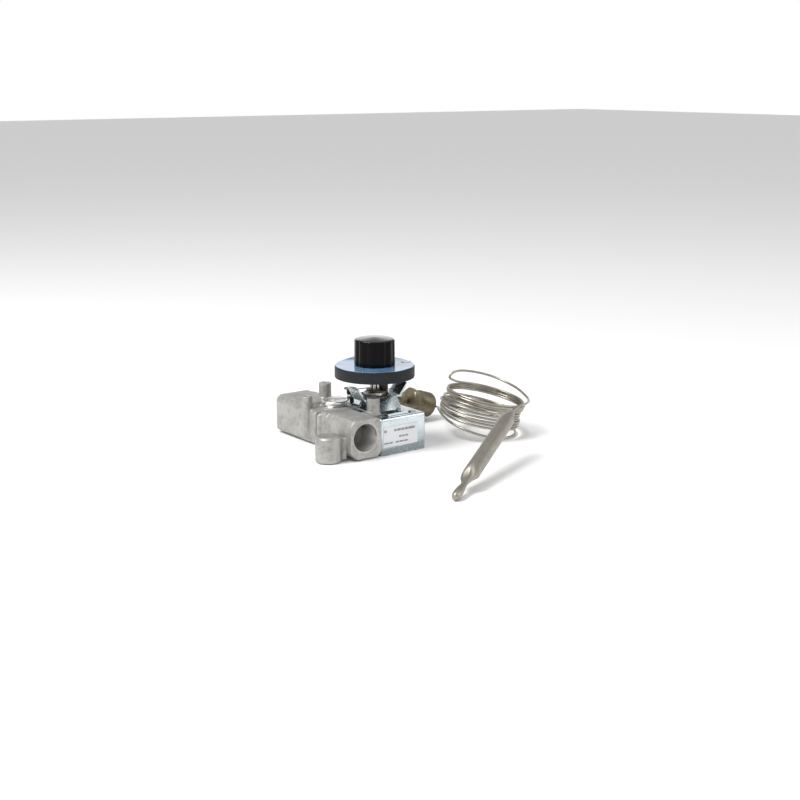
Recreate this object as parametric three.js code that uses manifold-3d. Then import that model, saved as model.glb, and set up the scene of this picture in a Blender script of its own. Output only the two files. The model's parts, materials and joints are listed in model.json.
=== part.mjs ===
// A snap-acting gas thermostat valve: two die-cast body halves, a folded steel housing with the
// temperature linkage, a dial and knob on a bridge bracket, and a capillary with its sensing bulb.
// Millimetres, +Z up. X runs along the labelled side, Y runs from the outlet face to the inlet face.
import * as THREE from "three";
import { mergeVertices } from "three/addons/utils/BufferGeometryUtils.js";
import { RoundedBoxGeometry } from "three/addons/geometries/RoundedBoxGeometry.js";
import Module from "manifold-3d";

const wasm = await Module();
wasm.setup();

// ---- Driving dimensions ----

// Clearances
const cutGap = 0.3; // round a piece that sits in a hole cut for it
const restGap = 0.1; // under a piece that rests on another
const runningGap = 0.08; // round a turning shaft

// Pipe ports, a 3/8 inch taper thread
const portMouthRadius = 8.9;
const portBoreRadius = 7.4;
const portThreadDepth = 13;
const portBoreDepth = 20;
const portHeight = 13;

// Outlet casting
const outletLeft = -11;
const outletRight = 12;
const outletLength = 36.5;
const castingHeight = 24.6;
const floorZ = -1.2; // what the valve stands on
const castingLift = floorZ + 0.8; // underside of the castings
const castingEdge = 3;
const outletCornerCut = 4.5;
const footBoss = { x: -20.5, y: 11, radius: 8.2, top: 15.4 };
const bossWebWidth = 10;
const bossWebTop = 13;

// Flanges and the gasket between the two castings
const flangeLeft = -12.3;
const flangeRight = 17.6;
const flangeBottom = 3;
const flangeTop = 23.4;
const flangeThickness = 4;
const flangeEdge = 1.4;
const gasketThickness = 1.2;
const bodyScrewPlaces = [
  { name: "body_screw_upper", x: -8.4, z: 19.2, headSide: 1 },
  { name: "body_screw_lower", x: 14.6, z: 6.6, headSide: -1 },
];

// Mounting posts with tapped holes
const postRadius = 4.1;
const postHoleRadius = 1.65;
const postHoleDepth = 9;
const postTop = 34.5;
const postRootFlare = 0.8;
const postX = 14.3;
const frontPostY = 12;
const rearPostY = 66;

// Inlet casting
const chamberBlockLeft = -6;
const chamberBlockTop = 22;
const inletLeft = -7.3;
const inletRight = 21;
const inletLength = 56; // from the gasket to the inlet face
const inletPortX = 8.6;
const inletEdge = 4;
const inletCornerCut = 2.5;
const cornerColumn = { x: -6.5, y: 55.7, radius: 3.4, bottom: 8, top: 30.2, holeRadius: 1.4, holeDepth: 8 };

// Valve chamber and its access plug
const plugX = 10.6;
const plugY = 48.4;
const plugSeatRadius = 10.2;
const plugSeatTop = 23.6;
const plugRadius = 9.15;
const plugThickness = 3.4;
const plugStemRadius = 7.1;
const plugStemLength = 4.6;
const chamberRadius = 7.4;
const lowerChamberRadius = 5.4;
const lowerChamberFloor = 4;
const passageRadius = 3.8;
const passageX = 6;
const passageZ = 9.4;
const inletPassageRadius = 3.6;
const inletPassageZ = 17.4;

// Valve seat, disc, spring and push pin
const seatBottom = 11.2;
const seatThickness = 2.4;
const seatRadius = 6.8;
const seatHoleRadius = 4.2;
const discRadius = 6;
const discThickness = 1.8;
const pushPinRadius = 1.2;
const springRadius = 4.4;
const springWire = 0.6;
const springTurns = 2.2;
const linkGap = 0.3; // between the pieces of the linkage that press on each other

// Folded steel housing
const housingGap = 0.3; // between the castings and the housing
const housingNose = 12.3; // left end of the part in front of the post
const housingNoseBack = 7.5;
const housingRight = 47.4;
const housingFront = 1;
const housingBack = 60;
const housingHeight = 22.6;
const housingWall = 1;
const housingEdge = 1.5;
const baseThickness = 1.2;
const domeHeight = 0.9;
const domeRadius = 3.6;
const labelLeft = 13.9;
const labelRight = 40.6;
const labelBottom = 4;
const labelTop = 17.3;
const labelThickness = 0.2;

// Dial axis and what turns on it
const dialX = 24;
const dialY = 23.8;
const shaftRadius = 3.175;
const shaftFlat = 2.4;
const screwRadius = 2.4;
const screwLength = 8;
const dialRadius = 25.4;
const dialBottom = 44.7;
const dialThickness = 7.3;
const dialEdge = 0.5;
const filmRadius = 24.9;
const filmThickness = 0.2;
const knobRadius = 13;
const knobHeight = 16.6;
const knobCrown = 1.2;
const knobFlutes = 12;
const knobFluteDepth = 0.7;
const dialTurnSpan = 280; // degrees

// Bridge bracket that carries the shaft
const bracketTop = 32;
const bracketThickness = 1.5;
const bracketLeft = 12.2;
const bracketRight = 40.5;
const bracketFront = 17;
const bracketBack = 31;
const bracketLegLeft = 20.5;
const bracketLegRight = 36.3;
const bracketLegReach = 5.5;
const bracketFootLength = 7;
const bracketEarHeight = 7;
const bracketEarFlare = 5.6;
const bracketScrewX = 32;

// Bush, nut, stop washer, leaf spring and stop collar above the bracket
const bushRadius = 4.75;
const bushAboveBracket = 3.4;
const bushFlangeRadius = 5.6;
const bushFlangeThickness = 1.6;
const stopWasherRadius = 10.4;
const stopWasherThickness = 0.9;
const stopArcWall = 1.5;
const stopArcTop = 42.3;
const stopArcAngle = 30; // degrees from +X, the middle of the fixed stop
const stopMargin = 2.5; // degrees left at each end of the dial's turn
const nutAcross = 12.7;
const nutThickness = 2;
const leafBottom = 36.2;
const leafRadius = 5.4;
const leafThickness = 0.5;
const leafWidth = 5;
const leafFrontLength = 16;
const leafFrontRise = 3;
const leafEyeRadius = 4.2;
const collarBottom = 40.3;
const collarThickness = 2.6;
const collarRadius = 5.5;
const collarPinRadius = 0.9;
const clipRadius = 5;
const clipThickness = 0.7;

// Bypass adjusting screw on the housing lid
const bypassX = 24.6;
const bypassY = 52;
const bypassTop = 31.4;
const bypassCapRadius = 2.4;
const bypassCollarRadius = 2.1;
const bypassShankRadius = 1.3;

// Temperature linkage in the housing
const carrierThickness = 2;
const carrierZ = 15.4;
const carrierWidth = 8;
const capsuleX = 33.4;
const capsuleRadius = 9.2;
const capsuleThickness = 3.6;
const buttonRadius = 1.6;
const leverPivotX = 24;
const leverZ = 6.4;
const leverWidth = 4;
const leverThickness = 1.3;
const leverHubRadius = 2.3;
const leverPinRadius = 1;

// Capillary, its gland fitting, its coil and the bulb
const capillaryRadius = 0.8;
const capillaryBore = 1.15; // radius of the holes that the capillary runs through
const ferruleRadius = 2.4;
const ferruleLength = 6;
const ferruleBoreDepth = 3;
const ferruleY = 55.4;
const ferruleZ = 17;
const glandStart = new THREE.Vector3(71, 62, 17);
const glandTilt = 17.9; // degrees below +X
const followerRadius = 2.6;
const followerLength = 11;
const packingStart = 11.2;
const packingEnd = 13.8;
const glandHexStart = 8.6;
const glandHexEnd = 14.2;
const glandHexAcross = 15.9;
const glandThreadRadius = 8.5;
const glandLength = 28.3;
const coilCentre = new THREE.Vector3(100.5, 8, 15.6);
const coilInnerRadius = 22;
const coilOuterRadius = 28.5;
const coilHeight = 18;
const coilTilt = 12.4; // degrees
const coilSkew = -36.9; // degrees from +X, the level line that the coil leans across
const bulbTip = new THREE.Vector3(-10.5, -99.9, 0.85);
const bulbEnd = new THREE.Vector3(79.5, -46, 27.5);
const bulbRadius = 4.76;

// ---- Sizes that follow ----

const inletStart = outletLength + gasketThickness;
const inletFace = inletStart + inletLength;
const castingRight = postX + postRadius;
const housingLeft = castingRight + housingGap;
const dialTop = dialBottom + dialThickness;
const filmBottom = dialTop + restGap;
const knobBottom = filmBottom + filmThickness + restGap;
const seatTop = seatBottom + seatThickness;
const discBottom = seatTop + restGap;
const discTop = discBottom + discThickness;
const plugBottom = plugSeatTop + restGap;
const stemBottom = plugBottom - plugStemLength;
const screwHole = 1.6;

// ---- Shapes ----

// A closed geometry as a solid that can be joined and cut.
function solid(geometry) {
  const bare = geometry.clone();
  bare.deleteAttribute("normal");
  bare.deleteAttribute("uv");
  const merged = mergeVertices(bare, 1e-4);
  return new wasm.Manifold(
    new wasm.Mesh({
      numProp: 3,
      vertProperties: merged.attributes.position.array,
      triVerts: new Uint32Array(merged.index.array),
    }),
  );
}

function geometryOf(made) {
  const { vertProperties, triVerts } = made.getMesh();
  const geometry = new THREE.BufferGeometry();
  geometry.setAttribute("position", new THREE.BufferAttribute(vertProperties, 3));
  geometry.setIndex(new THREE.BufferAttribute(triVerts, 1));
  geometry.computeVertexNormals();
  return geometry;
}

// A box between two values on each axis, with its edges rounded if a radius is given.
function block([x0, x1], [y0, y1], [z0, z1], radius = 0) {
  const size = [x1 - x0, y1 - y0, z1 - z0];
  const geometry = radius ? new RoundedBoxGeometry(...size, 2, radius) : new THREE.BoxGeometry(...size);
  geometry.translate((x0 + x1) / 2, (y0 + y1) / 2, (z0 + z1) / 2);
  return solid(geometry);
}

// Turns a shape made along +Y so that it runs along the named axis.
function alongAxis(geometry, axis) {
  if (axis === "x") geometry.rotateZ(-Math.PI / 2);
  if (axis === "z") geometry.rotateX(Math.PI / 2);
  return geometry;
}

// A round bar, or a cone where endRadius differs, along an axis; (a, b) is its place across it.
function rod(axis, [a, b], radius, from, to, { endRadius = radius, sides = 24 } = {}) {
  const geometry = alongAxis(new THREE.CylinderGeometry(endRadius, radius, to - from, sides), axis);
  const middle = (from + to) / 2;
  const place = { x: [middle, a, b], y: [a, middle, b], z: [a, b, middle] }[axis];
  geometry.translate(...place);
  return solid(geometry);
}

// A flat outline, given as a list of points, pulled along an axis between two values.
// On "x" the points are (y, z), on "y" they are (x, z) and on "z" they are (x, y).
function prism(axis, points, from, to) {
  const shape = new THREE.Shape(points.map(([a, b]) => new THREE.Vector2(a, b)));
  const geometry = new THREE.ExtrudeGeometry(shape, { depth: to - from, bevelEnabled: false });
  const turn = new THREE.Matrix4();
  if (axis === "x") turn.set(0, 0, 1, from, 1, 0, 0, 0, 0, 1, 0, 0, 0, 0, 0, 1);
  if (axis === "y") turn.set(1, 0, 0, 0, 0, 0, -1, to, 0, 1, 0, 0, 0, 0, 0, 1);
  if (axis === "z") turn.makeTranslation(0, 0, from);
  geometry.applyMatrix4(turn);
  return solid(geometry);
}

// A round piece about a vertical axis from its half outline in (radius, height).
function turned([x, y], profile, sides = 32) {
  const points = profile.map(([radius, height]) => new THREE.Vector2(radius, height));
  const geometry = alongAxis(new THREE.LatheGeometry(points, sides), "z");
  geometry.translate(x, y, 0);
  return solid(geometry);
}

// A shaft with one flat side, which faces -Y.
function flattedRod([x, y], radius, flat, from, to) {
  const keep = block([x - 2 * radius, x + 2 * radius], [y - flat, y + 2 * radius], [from - 1, to + 1]);
  return rod("z", [x, y], radius, from, to, { sides: 32 }).intersect(keep);
}

// The corners of a rectangle with its corners cut off, listed anticlockwise.
function cutRectangle(left, right, bottom, top, cuts) {
  const [bottomLeft, bottomRight, topRight, topLeft] = cuts;
  return [
    [left, bottom + bottomLeft],
    [left + bottomLeft, bottom],
    [right - bottomRight, bottom],
    [right, bottom + bottomRight],
    [right, top - topRight],
    [right - topRight, top],
    [left + topLeft, top],
    [left, top - topLeft],
  ];
}

// A hexagon, with its size across the flats, standing on a vertical axis.
function hexagon([x, y], across, from, to) {
  return rod("z", [x, y], across / Math.sqrt(3), from, to, { sides: 6 });
}

const finishes = {
  casting: { color: 0xb9b6b0, roughness: 0.6, metalness: 0.8 },
  plug: { color: 0xd8d8d6, roughness: 0.25, metalness: 1 },
  rubber: { color: 0x1c1c1c, roughness: 0.8, metalness: 0 },
  gasket: { color: 0x6b6a62, roughness: 0.9, metalness: 0 },
  zinc: { color: 0xc6d0d4, roughness: 0.3, metalness: 1 },
  steel: { color: 0xaeb0b0, roughness: 0.35, metalness: 1 },
  springSteel: { color: 0x4a4844, roughness: 0.4, metalness: 1 },
  blackPlastic: { color: 0x101010, roughness: 0.12, metalness: 0 },
  blackDial: { color: 0x2d2a2a, roughness: 0.5, metalness: 0 },
  film: { color: 0x78a0cd, roughness: 0.15, metalness: 0 },
  paper: { color: 0xf2f3f3, roughness: 0.6, metalness: 0 },
  brass: { color: 0xb59a5c, roughness: 0.35, metalness: 1 },
  dullBrass: { color: 0x7d735f, roughness: 0.5, metalness: 0.9 },
  capillary: { color: 0xb5b0a6, roughness: 0.35, metalness: 1 },
};

// The valve's own pieces, and the pieces of the free capillary, each in a group.
const valve = new THREE.Group();
const probe = new THREE.Group();

function addPiece(name, made, finish, group = valve) {
  const geometry = made.isBufferGeometry ? made : geometryOf(made);
  const mesh = new THREE.Mesh(geometry, new THREE.MeshStandardMaterial(finishes[finish]));
  mesh.name = name;
  group.add(mesh);
  return mesh;
}

// A pan-headed screw along an axis, its head at the higher end, or at the lower end if headAtLow.
function panScrew(axis, place, headStart, shankEnd, headRadius, headHeight, shankRadius) {
  const outward = Math.sign(headStart - shankEnd);
  const headEnd = headStart + outward * headHeight;
  const low = Math.min(headStart, headEnd);
  const high = Math.max(headStart, headEnd);
  const crown = headRadius * 0.72;
  const radii = outward > 0 ? [headRadius, crown] : [crown, headRadius];
  const head = rod(axis, place, radii[0], low, high, { endRadius: radii[1], sides: 20 });
  const overlap = headHeight / 4;
  const shankLow = Math.min(shankEnd, headStart + outward * overlap);
  const shankHigh = Math.max(shankEnd, headStart + outward * overlap);
  const shank = rod(axis, place, shankRadius, shankLow, shankHigh, { sides: 12 });
  const slotHalf = headRadius * 0.14;
  const reach = headRadius * 1.5;
  const [a, b] = place;
  const slotDepth = headHeight * 0.4;
  const span = outward > 0 ? [high - slotDepth, high + 1] : [low - 1, low + slotDepth];
  const across = { x: [span, [a - slotHalf, a + slotHalf], [b - reach, b + reach]],
    y: [[a - slotHalf, a + slotHalf], span, [b - reach, b + reach]],
    z: [[a - reach, a + reach], [b - slotHalf, b + slotHalf], span] }[axis];
  return head.add(shank).subtract(block(...across));
}

// ---- The castings ----

// A tapped post with a wide lug that ties it into a casting; the lug runs towards -X.
function mountingPost(y) {
  const lugDepth = postRadius + 2;
  const lug = block([postX - lugDepth, postX], [y - postRadius, y + postRadius], [castingLift, castingHeight]);
  const column = rod("z", [postX, y], postRadius, castingLift, postTop);
  const root = rod("z", [postX, y], postRadius + postRootFlare, castingHeight - 1, castingHeight + 1.4,
    { endRadius: postRadius });
  const keep = block([postX - 2 * lugDepth, castingRight], [y - 10, y + 10], [castingLift - 1, postTop + 1]);
  return lug.add(column).add(root).intersect(keep);
}

function postHole(y) {
  return rod("z", [postX, y], postHoleRadius, postTop - postHoleDepth, postTop + 1, { sides: 16 });
}

// A pipe port that opens along Y: the tapered thread mouth, then the plain bore.
function portBore(x, face, inward) {
  const threadEnd = face + inward * portThreadDepth;
  const boreEnd = face + inward * portBoreDepth;
  const low = Math.min(face - inward, threadEnd);
  const high = Math.max(face - inward, threadEnd);
  const radii = inward > 0 ? [portMouthRadius, portBoreRadius + 0.5] : [portBoreRadius + 0.5, portMouthRadius];
  const thread = rod("y", [x, portHeight], radii[0], low, high, { endRadius: radii[1], sides: 32 });
  const bore = rod("y", [x, portHeight], portBoreRadius, Math.min(face, boreEnd), Math.max(face, boreEnd),
    { sides: 32 });
  return thread.add(bore);
}

function flange(from, to) {
  const rim = block([flangeLeft, flangeRight], [from, to], [flangeBottom, flangeTop], flangeEdge);
  return rim;
}

// Each body screw passes through the flange under its head and ends blind in the other flange.
function bodyScrewSpan(headSide) {
  const low = outletLength - flangeThickness;
  const high = inletStart + flangeThickness;
  return headSide > 0 ? [high + restGap, low + 1] : [low - restGap, high - 1];
}

function bodyScrewHoles() {
  const holes = bodyScrewPlaces.map(({ x, z, headSide }) => {
    const [head, end] = bodyScrewSpan(headSide);
    const from = Math.min(head - 1, end - cutGap);
    const to = Math.max(head + 1, end + cutGap);
    return rod("y", [x, z], screwHole, from, to, { sides: 12 });
  });
  return holes[0].add(holes[1]);
}

function makeOutletCasting() {
  const [cut, edge] = [outletCornerCut, castingEdge];
  const outline = cutRectangle(outletLeft, outletRight, castingLift, castingHeight, [cut, edge, edge, edge]);
  const main = prism("y", outline, 0, outletLength);
  const keep = block([outletLeft - 1, outletRight + 1], [0, outletLength + edge], [castingLift - 1, castingHeight + 1],
    edge / 2);
  const boss = turned([footBoss.x, footBoss.y], [
    [0, floorZ],
    [footBoss.radius - 1, floorZ],
    [footBoss.radius, floorZ + 1],
    [footBoss.radius, footBoss.top - 1.4],
    [footBoss.radius - 1.4, footBoss.top],
    [0, footBoss.top],
  ]);
  const webHalf = bossWebWidth / 2;
  const web = block([footBoss.x, outletLeft + 1], [footBoss.y - webHalf, footBoss.y + webHalf],
    [castingLift, bossWebTop]);
  const passage = rod("y", [passageX, passageZ], passageRadius, portBoreDepth - 4, outletLength + 1);
  return main
    .intersect(keep)
    .add(flange(outletLength - flangeThickness, outletLength))
    .add(mountingPost(frontPostY))
    .add(boss)
    .add(web)
    .subtract(portBore(0, 0, 1))
    .subtract(passage)
    .subtract(postHole(frontPostY))
    .subtract(bodyScrewHoles())
    .subtract(housingScrewHole(housingScrews[0]));
}

function makeInletCasting() {
  const [cut, edge] = [inletCornerCut, inletEdge];
  const outline = cutRectangle(inletLeft, inletRight, castingLift, castingHeight, [cut, edge, edge, edge]);
  const inletBlockStart = housingBack + housingGap;
  const rear = prism("y", outline, inletBlockStart, inletFace);
  const slimOutline = cutRectangle(inletLeft, castingRight, castingLift, castingHeight, [cut, edge, 0, edge]);
  const neckStart = plugY + plugSeatRadius;
  const neck = prism("y", slimOutline, neckStart, inletFace - 2 * edge);
  const keep = block([inletLeft, inletRight], [neckStart, inletFace], [castingLift, castingHeight], edge * 0.6);
  const chamberBlock = block([chamberBlockLeft, castingRight], [inletStart, neckStart + 2 * edge],
    [castingLift, chamberBlockTop], 1.2);
  const seatRing = rod("z", [plugX, plugY], plugSeatRadius, castingLift + 1, plugSeatTop, { sides: 36 });
  const column = rod("z", [cornerColumn.x, cornerColumn.y], cornerColumn.radius, cornerColumn.bottom,
    cornerColumn.top, { sides: 20 });
  const columnHole = rod("z", [cornerColumn.x, cornerColumn.y], cornerColumn.holeRadius,
    cornerColumn.top - cornerColumn.holeDepth, cornerColumn.top + 1, { sides: 12 });
  const chamber = rod("z", [plugX, plugY], chamberRadius, seatTop, plugSeatTop + 1, { sides: 32 });
  const ringGroove = rod("z", [plugX, plugY], ringGrooveRadius, plugSeatTop - ringGrooveDepth, plugSeatTop + 1,
    { sides: 32 });
  const seatPocket = rod("z", [plugX, plugY], seatRadius + cutGap, seatBottom - cutGap, seatTop + 1, { sides: 32 });
  const lower = rod("z", [plugX, plugY], lowerChamberRadius, lowerChamberFloor, seatBottom + 1);
  const passage = rod("y", [passageX, passageZ], passageRadius, inletStart - 1, plugY - 2);
  const inletPassage = rod("y", [inletPortX, inletPassageZ], inletPassageRadius, plugY + 4,
    inletFace - portBoreDepth + 2);
  const seatEdge = block([-50, castingRight], [inletStart, inletFace + 1], [-1, postTop + 1]);
  return rear
    .add(neck)
    .intersect(keep)
    .add(flange(inletStart, inletStart + flangeThickness))
    .add(chamberBlock)
    .add(seatRing.intersect(seatEdge))
    .add(mountingPost(rearPostY))
    .add(column)
    .subtract(columnHole)
    .subtract(chamber)
    .subtract(ringGroove)
    .subtract(seatPocket)
    .subtract(lower)
    .subtract(passage)
    .subtract(inletPassage)
    .subtract(leverSlot(plugX, castingRight + 1))
    .subtract(portBore(inletPortX, inletFace, -1))
    .subtract(postHole(rearPostY))
    .subtract(bodyScrewHoles())
    .subtract(housingScrewHole(housingScrews[1]));
}

function makeGasket() {
  const rim = block([flangeLeft + 0.4, flangeRight - 0.4], [outletLength, inletStart],
    [flangeBottom + 0.4, flangeTop - 0.4]);
  const hole = rod("y", [passageX, passageZ], passageRadius, outletLength - 1, inletStart + 1);
  return rim.subtract(hole).subtract(bodyScrewHoles());
}

// ---- Access plug, seat, disc and spring ----

const ringGrooveRadius = plugStemRadius + 1.6;
const ringGrooveDepth = 1.5;

function makeAccessPlug() {
  const top = plugBottom + plugThickness;
  return turned([plugX, plugY], [
    [0, stemBottom],
    [plugStemRadius - 0.6, stemBottom],
    [plugStemRadius, stemBottom + 0.6],
    [plugStemRadius, plugBottom],
    [plugRadius, plugBottom],
    [plugRadius, top - 0.5],
    [plugRadius - 0.5, top],
    [plugRadius - 2.2, top],
    [plugRadius - 2.6, top - 0.5],
    [0, top - 0.5],
  ], 36);
}

function makeSealRing() {
  const section = 0.6;
  const middle = (plugStemRadius + ringGrooveRadius) / 2;
  const geometry = new THREE.TorusGeometry(middle, section, 6, 24);
  geometry.translate(plugX, plugY, plugSeatTop - ringGrooveDepth / 2 - 0.05);
  return geometry;
}

function makeValveSeat() {
  return turned([plugX, plugY], [
    [seatHoleRadius, seatBottom],
    [seatRadius, seatBottom],
    [seatRadius, seatTop - 0.5],
    [seatHoleRadius + 1.4, seatTop - 0.5],
    [seatHoleRadius + 0.8, seatTop],
    [seatHoleRadius, seatTop],
    [seatHoleRadius, seatBottom],
  ], 24);
}

function makeValveDisc() {
  return turned([plugX, plugY], [
    [0, discBottom],
    [discRadius - 0.4, discBottom],
    [discRadius, discBottom + 0.4],
    [discRadius, discTop],
    [0, discTop],
  ], 28);
}

function makePushPin() {
  return rod("z", [plugX, plugY], pushPinRadius, leverZ + leverThickness + linkGap, discBottom - restGap,
    { sides: 16 });
}

// A compression spring between the disc and the plug's stem.
function makeValveSpring() {
  const low = discTop + restGap + springWire / 2;
  const high = stemBottom - restGap - springWire / 2;
  class Helix extends THREE.Curve {
    getPoint(t, target = new THREE.Vector3()) {
      const angle = t * springTurns * 2 * Math.PI;
      const height = low + (high - low) * t;
      return target.set(plugX + springRadius * Math.cos(angle), plugY + springRadius * Math.sin(angle), height);
    }
  }
  const section = new THREE.Shape().absarc(0, 0, springWire / 2, 0, 2 * Math.PI);
  return new THREE.ExtrudeGeometry(section, { steps: 40, curveSegments: 3, extrudePath: new Helix() });
}

// ---- Housing ----

const housingScrews = [
  { name: "housing_screw_front", y: frontPostY, z: 12 },
  { name: "housing_screw_rear", y: 55.6, z: 8 },
];
const housingScrewDepth = 6;

function housingScrewHole({ y, z }) {
  const hole = rod("x", [y, z], screwHole, castingRight - housingScrewDepth - cutGap, housingLeft + housingWall + 1,
    { sides: 12 });
  return hole;
}

function leverSlot(fromX, toX) {
  const half = leverWidth / 2 + 0.8;
  return block([fromX, toX], [plugY - half, plugY + half], [leverZ - 1.6, leverZ + leverThickness + 3]);
}

// The holes through the top of the housing: the shaft's, the bracket screws' and the bypass screw's.
function topHoles() {
  const through = (x, y, radius) =>
    rod("z", [x, y], radius, housingHeight - 3, housingHeight + 2, { sides: 20 });
  return through(dialX, dialY, shaftRadius + 0.6)
    .add(through(bracketScrewX, frontScrewY, screwHole))
    .add(through(bracketScrewX, backScrewY, screwHole))
    .add(through(bypassX, bypassY, bypassShankRadius + cutGap));
}

// The housing's outline as two boxes, drawn in from each side by the given amount.
function housingBoxes(inset, bottom, edge) {
  const [left, right] = [housingLeft + inset, housingRight - inset];
  const [front, back] = [housingFront + inset, housingBack - inset];
  const top = housingHeight - inset;
  const main = block([left, right], [front, back], [bottom, top], edge);
  const nose = block([housingNose + inset, left + 6], [front, housingNoseBack - inset], [bottom, top], edge);
  return main.add(nose);
}

// A drawn steel box, open underneath, with a round embossed dome beside the bracket's front foot.
function makeHousing() {
  const [left, right] = [housingLeft, housingRight];
  const outer = housingBoxes(0, floorZ - 3 * housingEdge, housingEdge);
  const keep = block([housingNose - 1, right + 1], [housingFront - 1, housingBack + 1], [floorZ, housingHeight + 1]);
  const inner = housingBoxes(housingWall, floorZ - 5, 0);
  const dome = turned([domeX, domeY], [
    [0, housingHeight - housingWall / 2],
    [domeRadius, housingHeight - housingWall / 2],
    [domeRadius, housingHeight],
    [domeRadius * 0.8, housingHeight + domeHeight * 0.7],
    [domeRadius * 0.4, housingHeight + domeHeight],
    [0, housingHeight + domeHeight],
  ], 20);
  const ferruleHole = rod("x", [ferruleY, ferruleZ], ferruleRadius + cutGap, right - 2 * housingWall, right + 1);
  return outer
    .intersect(keep)
    .subtract(inner)
    .add(dome)
    .subtract(topHoles())
    .subtract(leverSlot(left - 1, left + housingWall + 1))
    .subtract(ferruleHole)
    .subtract(housingScrewHole(housingScrews[0]))
    .subtract(housingScrewHole(housingScrews[1]));
}

// The base plate, with two lugs that hold the lever's pin.
function makeHousingBase() {
  const inset = housingWall + restGap;
  const plate = block([housingLeft + inset, housingRight - inset], [housingFront + inset, housingBack - inset],
    [floorZ, floorZ + baseThickness]);
  const lugThickness = 1.2;
  const lugHalf = 3;
  const pinZ = leverZ + leverThickness / 2;
  const lugs = [-1, 1].map((side) => {
    const near = plugY + side * (leverWidth / 2 + 0.5);
    const far = near + side * lugThickness;
    return block([leverPivotX - lugHalf, leverPivotX + lugHalf], [Math.min(near, far), Math.max(near, far)],
      [floorZ + baseThickness / 2, pinZ + lugHalf]);
  });
  const pinHole = rod("y", [leverPivotX, pinZ], leverPinRadius + restGap, plugY - 9, plugY + 9, { sides: 16 });
  return plate.add(lugs[0]).add(lugs[1]).subtract(pinHole);
}

function makeLabel() {
  const near = housingFront - restGap;
  return block([labelLeft, labelRight], [near - labelThickness, near], [labelBottom, labelTop]);
}

function makeFerrule() {
  const start = housingRight - 1.6 * housingWall;
  const end = housingRight + ferruleLength;
  const sleeve = rod("x", [ferruleY, ferruleZ], ferruleRadius, start, end, { endRadius: ferruleRadius * 0.8 });
  const rim = rod("x", [ferruleY, ferruleZ], ferruleRadius + 1.1, housingRight + restGap, housingRight + 1.5);
  const bore = rod("x", [ferruleY, ferruleZ], capillaryBore, end - ferruleBoreDepth, end + 1, { sides: 16 });
  return sleeve.add(rim).subtract(bore);
}

// ---- Bridge bracket ----

const legShift = bracketThickness * Math.tan(Math.atan2(bracketTop - housingHeight - bracketThickness,
  bracketLegReach) / 2);
const frontScrewY = bracketFront - bracketLegReach - bracketFootLength / 2;
const backScrewY = bracketBack + bracketLegReach + bracketFootLength / 2;
const domeX = bracketScrewX + 8.7;
const domeY = frontScrewY;
const bracketUnder = bracketTop - bracketThickness;

function makeBracket() {
  const footZ = housingHeight + restGap;
  const footTop = footZ + bracketThickness;
  const half = [
    [bracketFront - bracketLegReach - bracketFootLength, footZ],
    [bracketFront - bracketLegReach + legShift, footZ],
    [bracketFront + legShift, bracketUnder],
  ];
  const otherHalf = [
    [bracketBack - legShift, bracketUnder],
    [bracketBack + bracketLegReach - legShift, footZ],
    [bracketBack + bracketLegReach + bracketFootLength, footZ],
    [bracketBack + bracketLegReach + bracketFootLength, footTop],
    [bracketBack + bracketLegReach, footTop],
    [bracketBack, bracketTop],
    [bracketFront, bracketTop],
    [bracketFront - bracketLegReach, footTop],
    [bracketFront - bracketLegReach - bracketFootLength, footTop],
  ];
  const strip = prism("x", half.concat(otherHalf), bracketLegLeft, bracketLegRight);
  const plate = block([bracketLeft, bracketRight], [bracketFront, bracketBack], [bracketUnder, bracketTop]);
  return strip
    .add(plate)
    .add(bracketEar(bracketRight, 1))
    .add(bracketEar(bracketLeft, -1))
    .subtract(rod("z", [dialX, dialY], bushRadius + restGap, bracketUnder - 1, bracketTop + 1, { sides: 28 }))
    .subtract(rod("z", [bracketScrewX, frontScrewY], screwHole, footZ - 1, footTop + 1, { sides: 16 }))
    .subtract(rod("z", [bracketScrewX, backScrewY], screwHole, footZ - 1, footTop + 1, { sides: 16 }));
}

// A flared ear turned up at one end of the bracket's plate; side is 1 at the right and -1 at the left.
function bracketEar(edge, side) {
  const rise = bracketTop + bracketEarHeight;
  const wall = bracketThickness * 0.8;
  const outline = [
    [edge - side * 2 * wall, bracketUnder],
    [edge, bracketUnder],
    [edge + side * bracketEarFlare, rise],
    [edge + side * (bracketEarFlare - wall), rise],
    [edge - side * wall, bracketTop],
    [edge - side * 2 * wall, bracketTop],
  ];
  if (side < 0) outline.reverse();
  return prism("y", outline, bracketFront + 1, bracketBack - 1);
}

// ---- Bush, nut, washer, leaf spring and stop ----

const stopWasherBottom = bracketTop + restGap;
const nutBottom = stopWasherBottom + stopWasherThickness + restGap;
const bushBottom = bracketUnder - restGap - bushFlangeThickness;

function makeBush() {
  const bore = shaftRadius + runningGap;
  const top = bracketTop + bushAboveBracket;
  return turned([dialX, dialY], [
    [bore, bushBottom],
    [bushFlangeRadius, bushBottom],
    [bushFlangeRadius, bracketUnder - restGap],
    [bushRadius, bracketUnder - restGap],
    [bushRadius, top - 0.4],
    [bushRadius - 0.4, top],
    [bore, top],
    [bore, bushBottom],
  ]);
}

function makeBushNut() {
  const top = nutBottom + nutThickness;
  const bore = rod("z", [dialX, dialY], bushRadius + restGap, nutBottom - 1, top + 1, { sides: 32 });
  return hexagon([dialX, dialY], nutAcross, nutBottom, top).subtract(bore);
}

// The angle that the collar's pin takes up to each side of its middle.
const pinReach = stopWasherRadius - stopArcWall / 2;
const pinHalfAngle = THREE.MathUtils.radToDeg(Math.asin(collarPinRadius / (stopWasherRadius - stopArcWall)));
const stopArcHalf = (360 - dialTurnSpan) / 2 - pinHalfAngle - stopMargin;
const pinRestAngle = stopArcAngle + stopArcHalf + pinHalfAngle + stopMargin;

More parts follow.
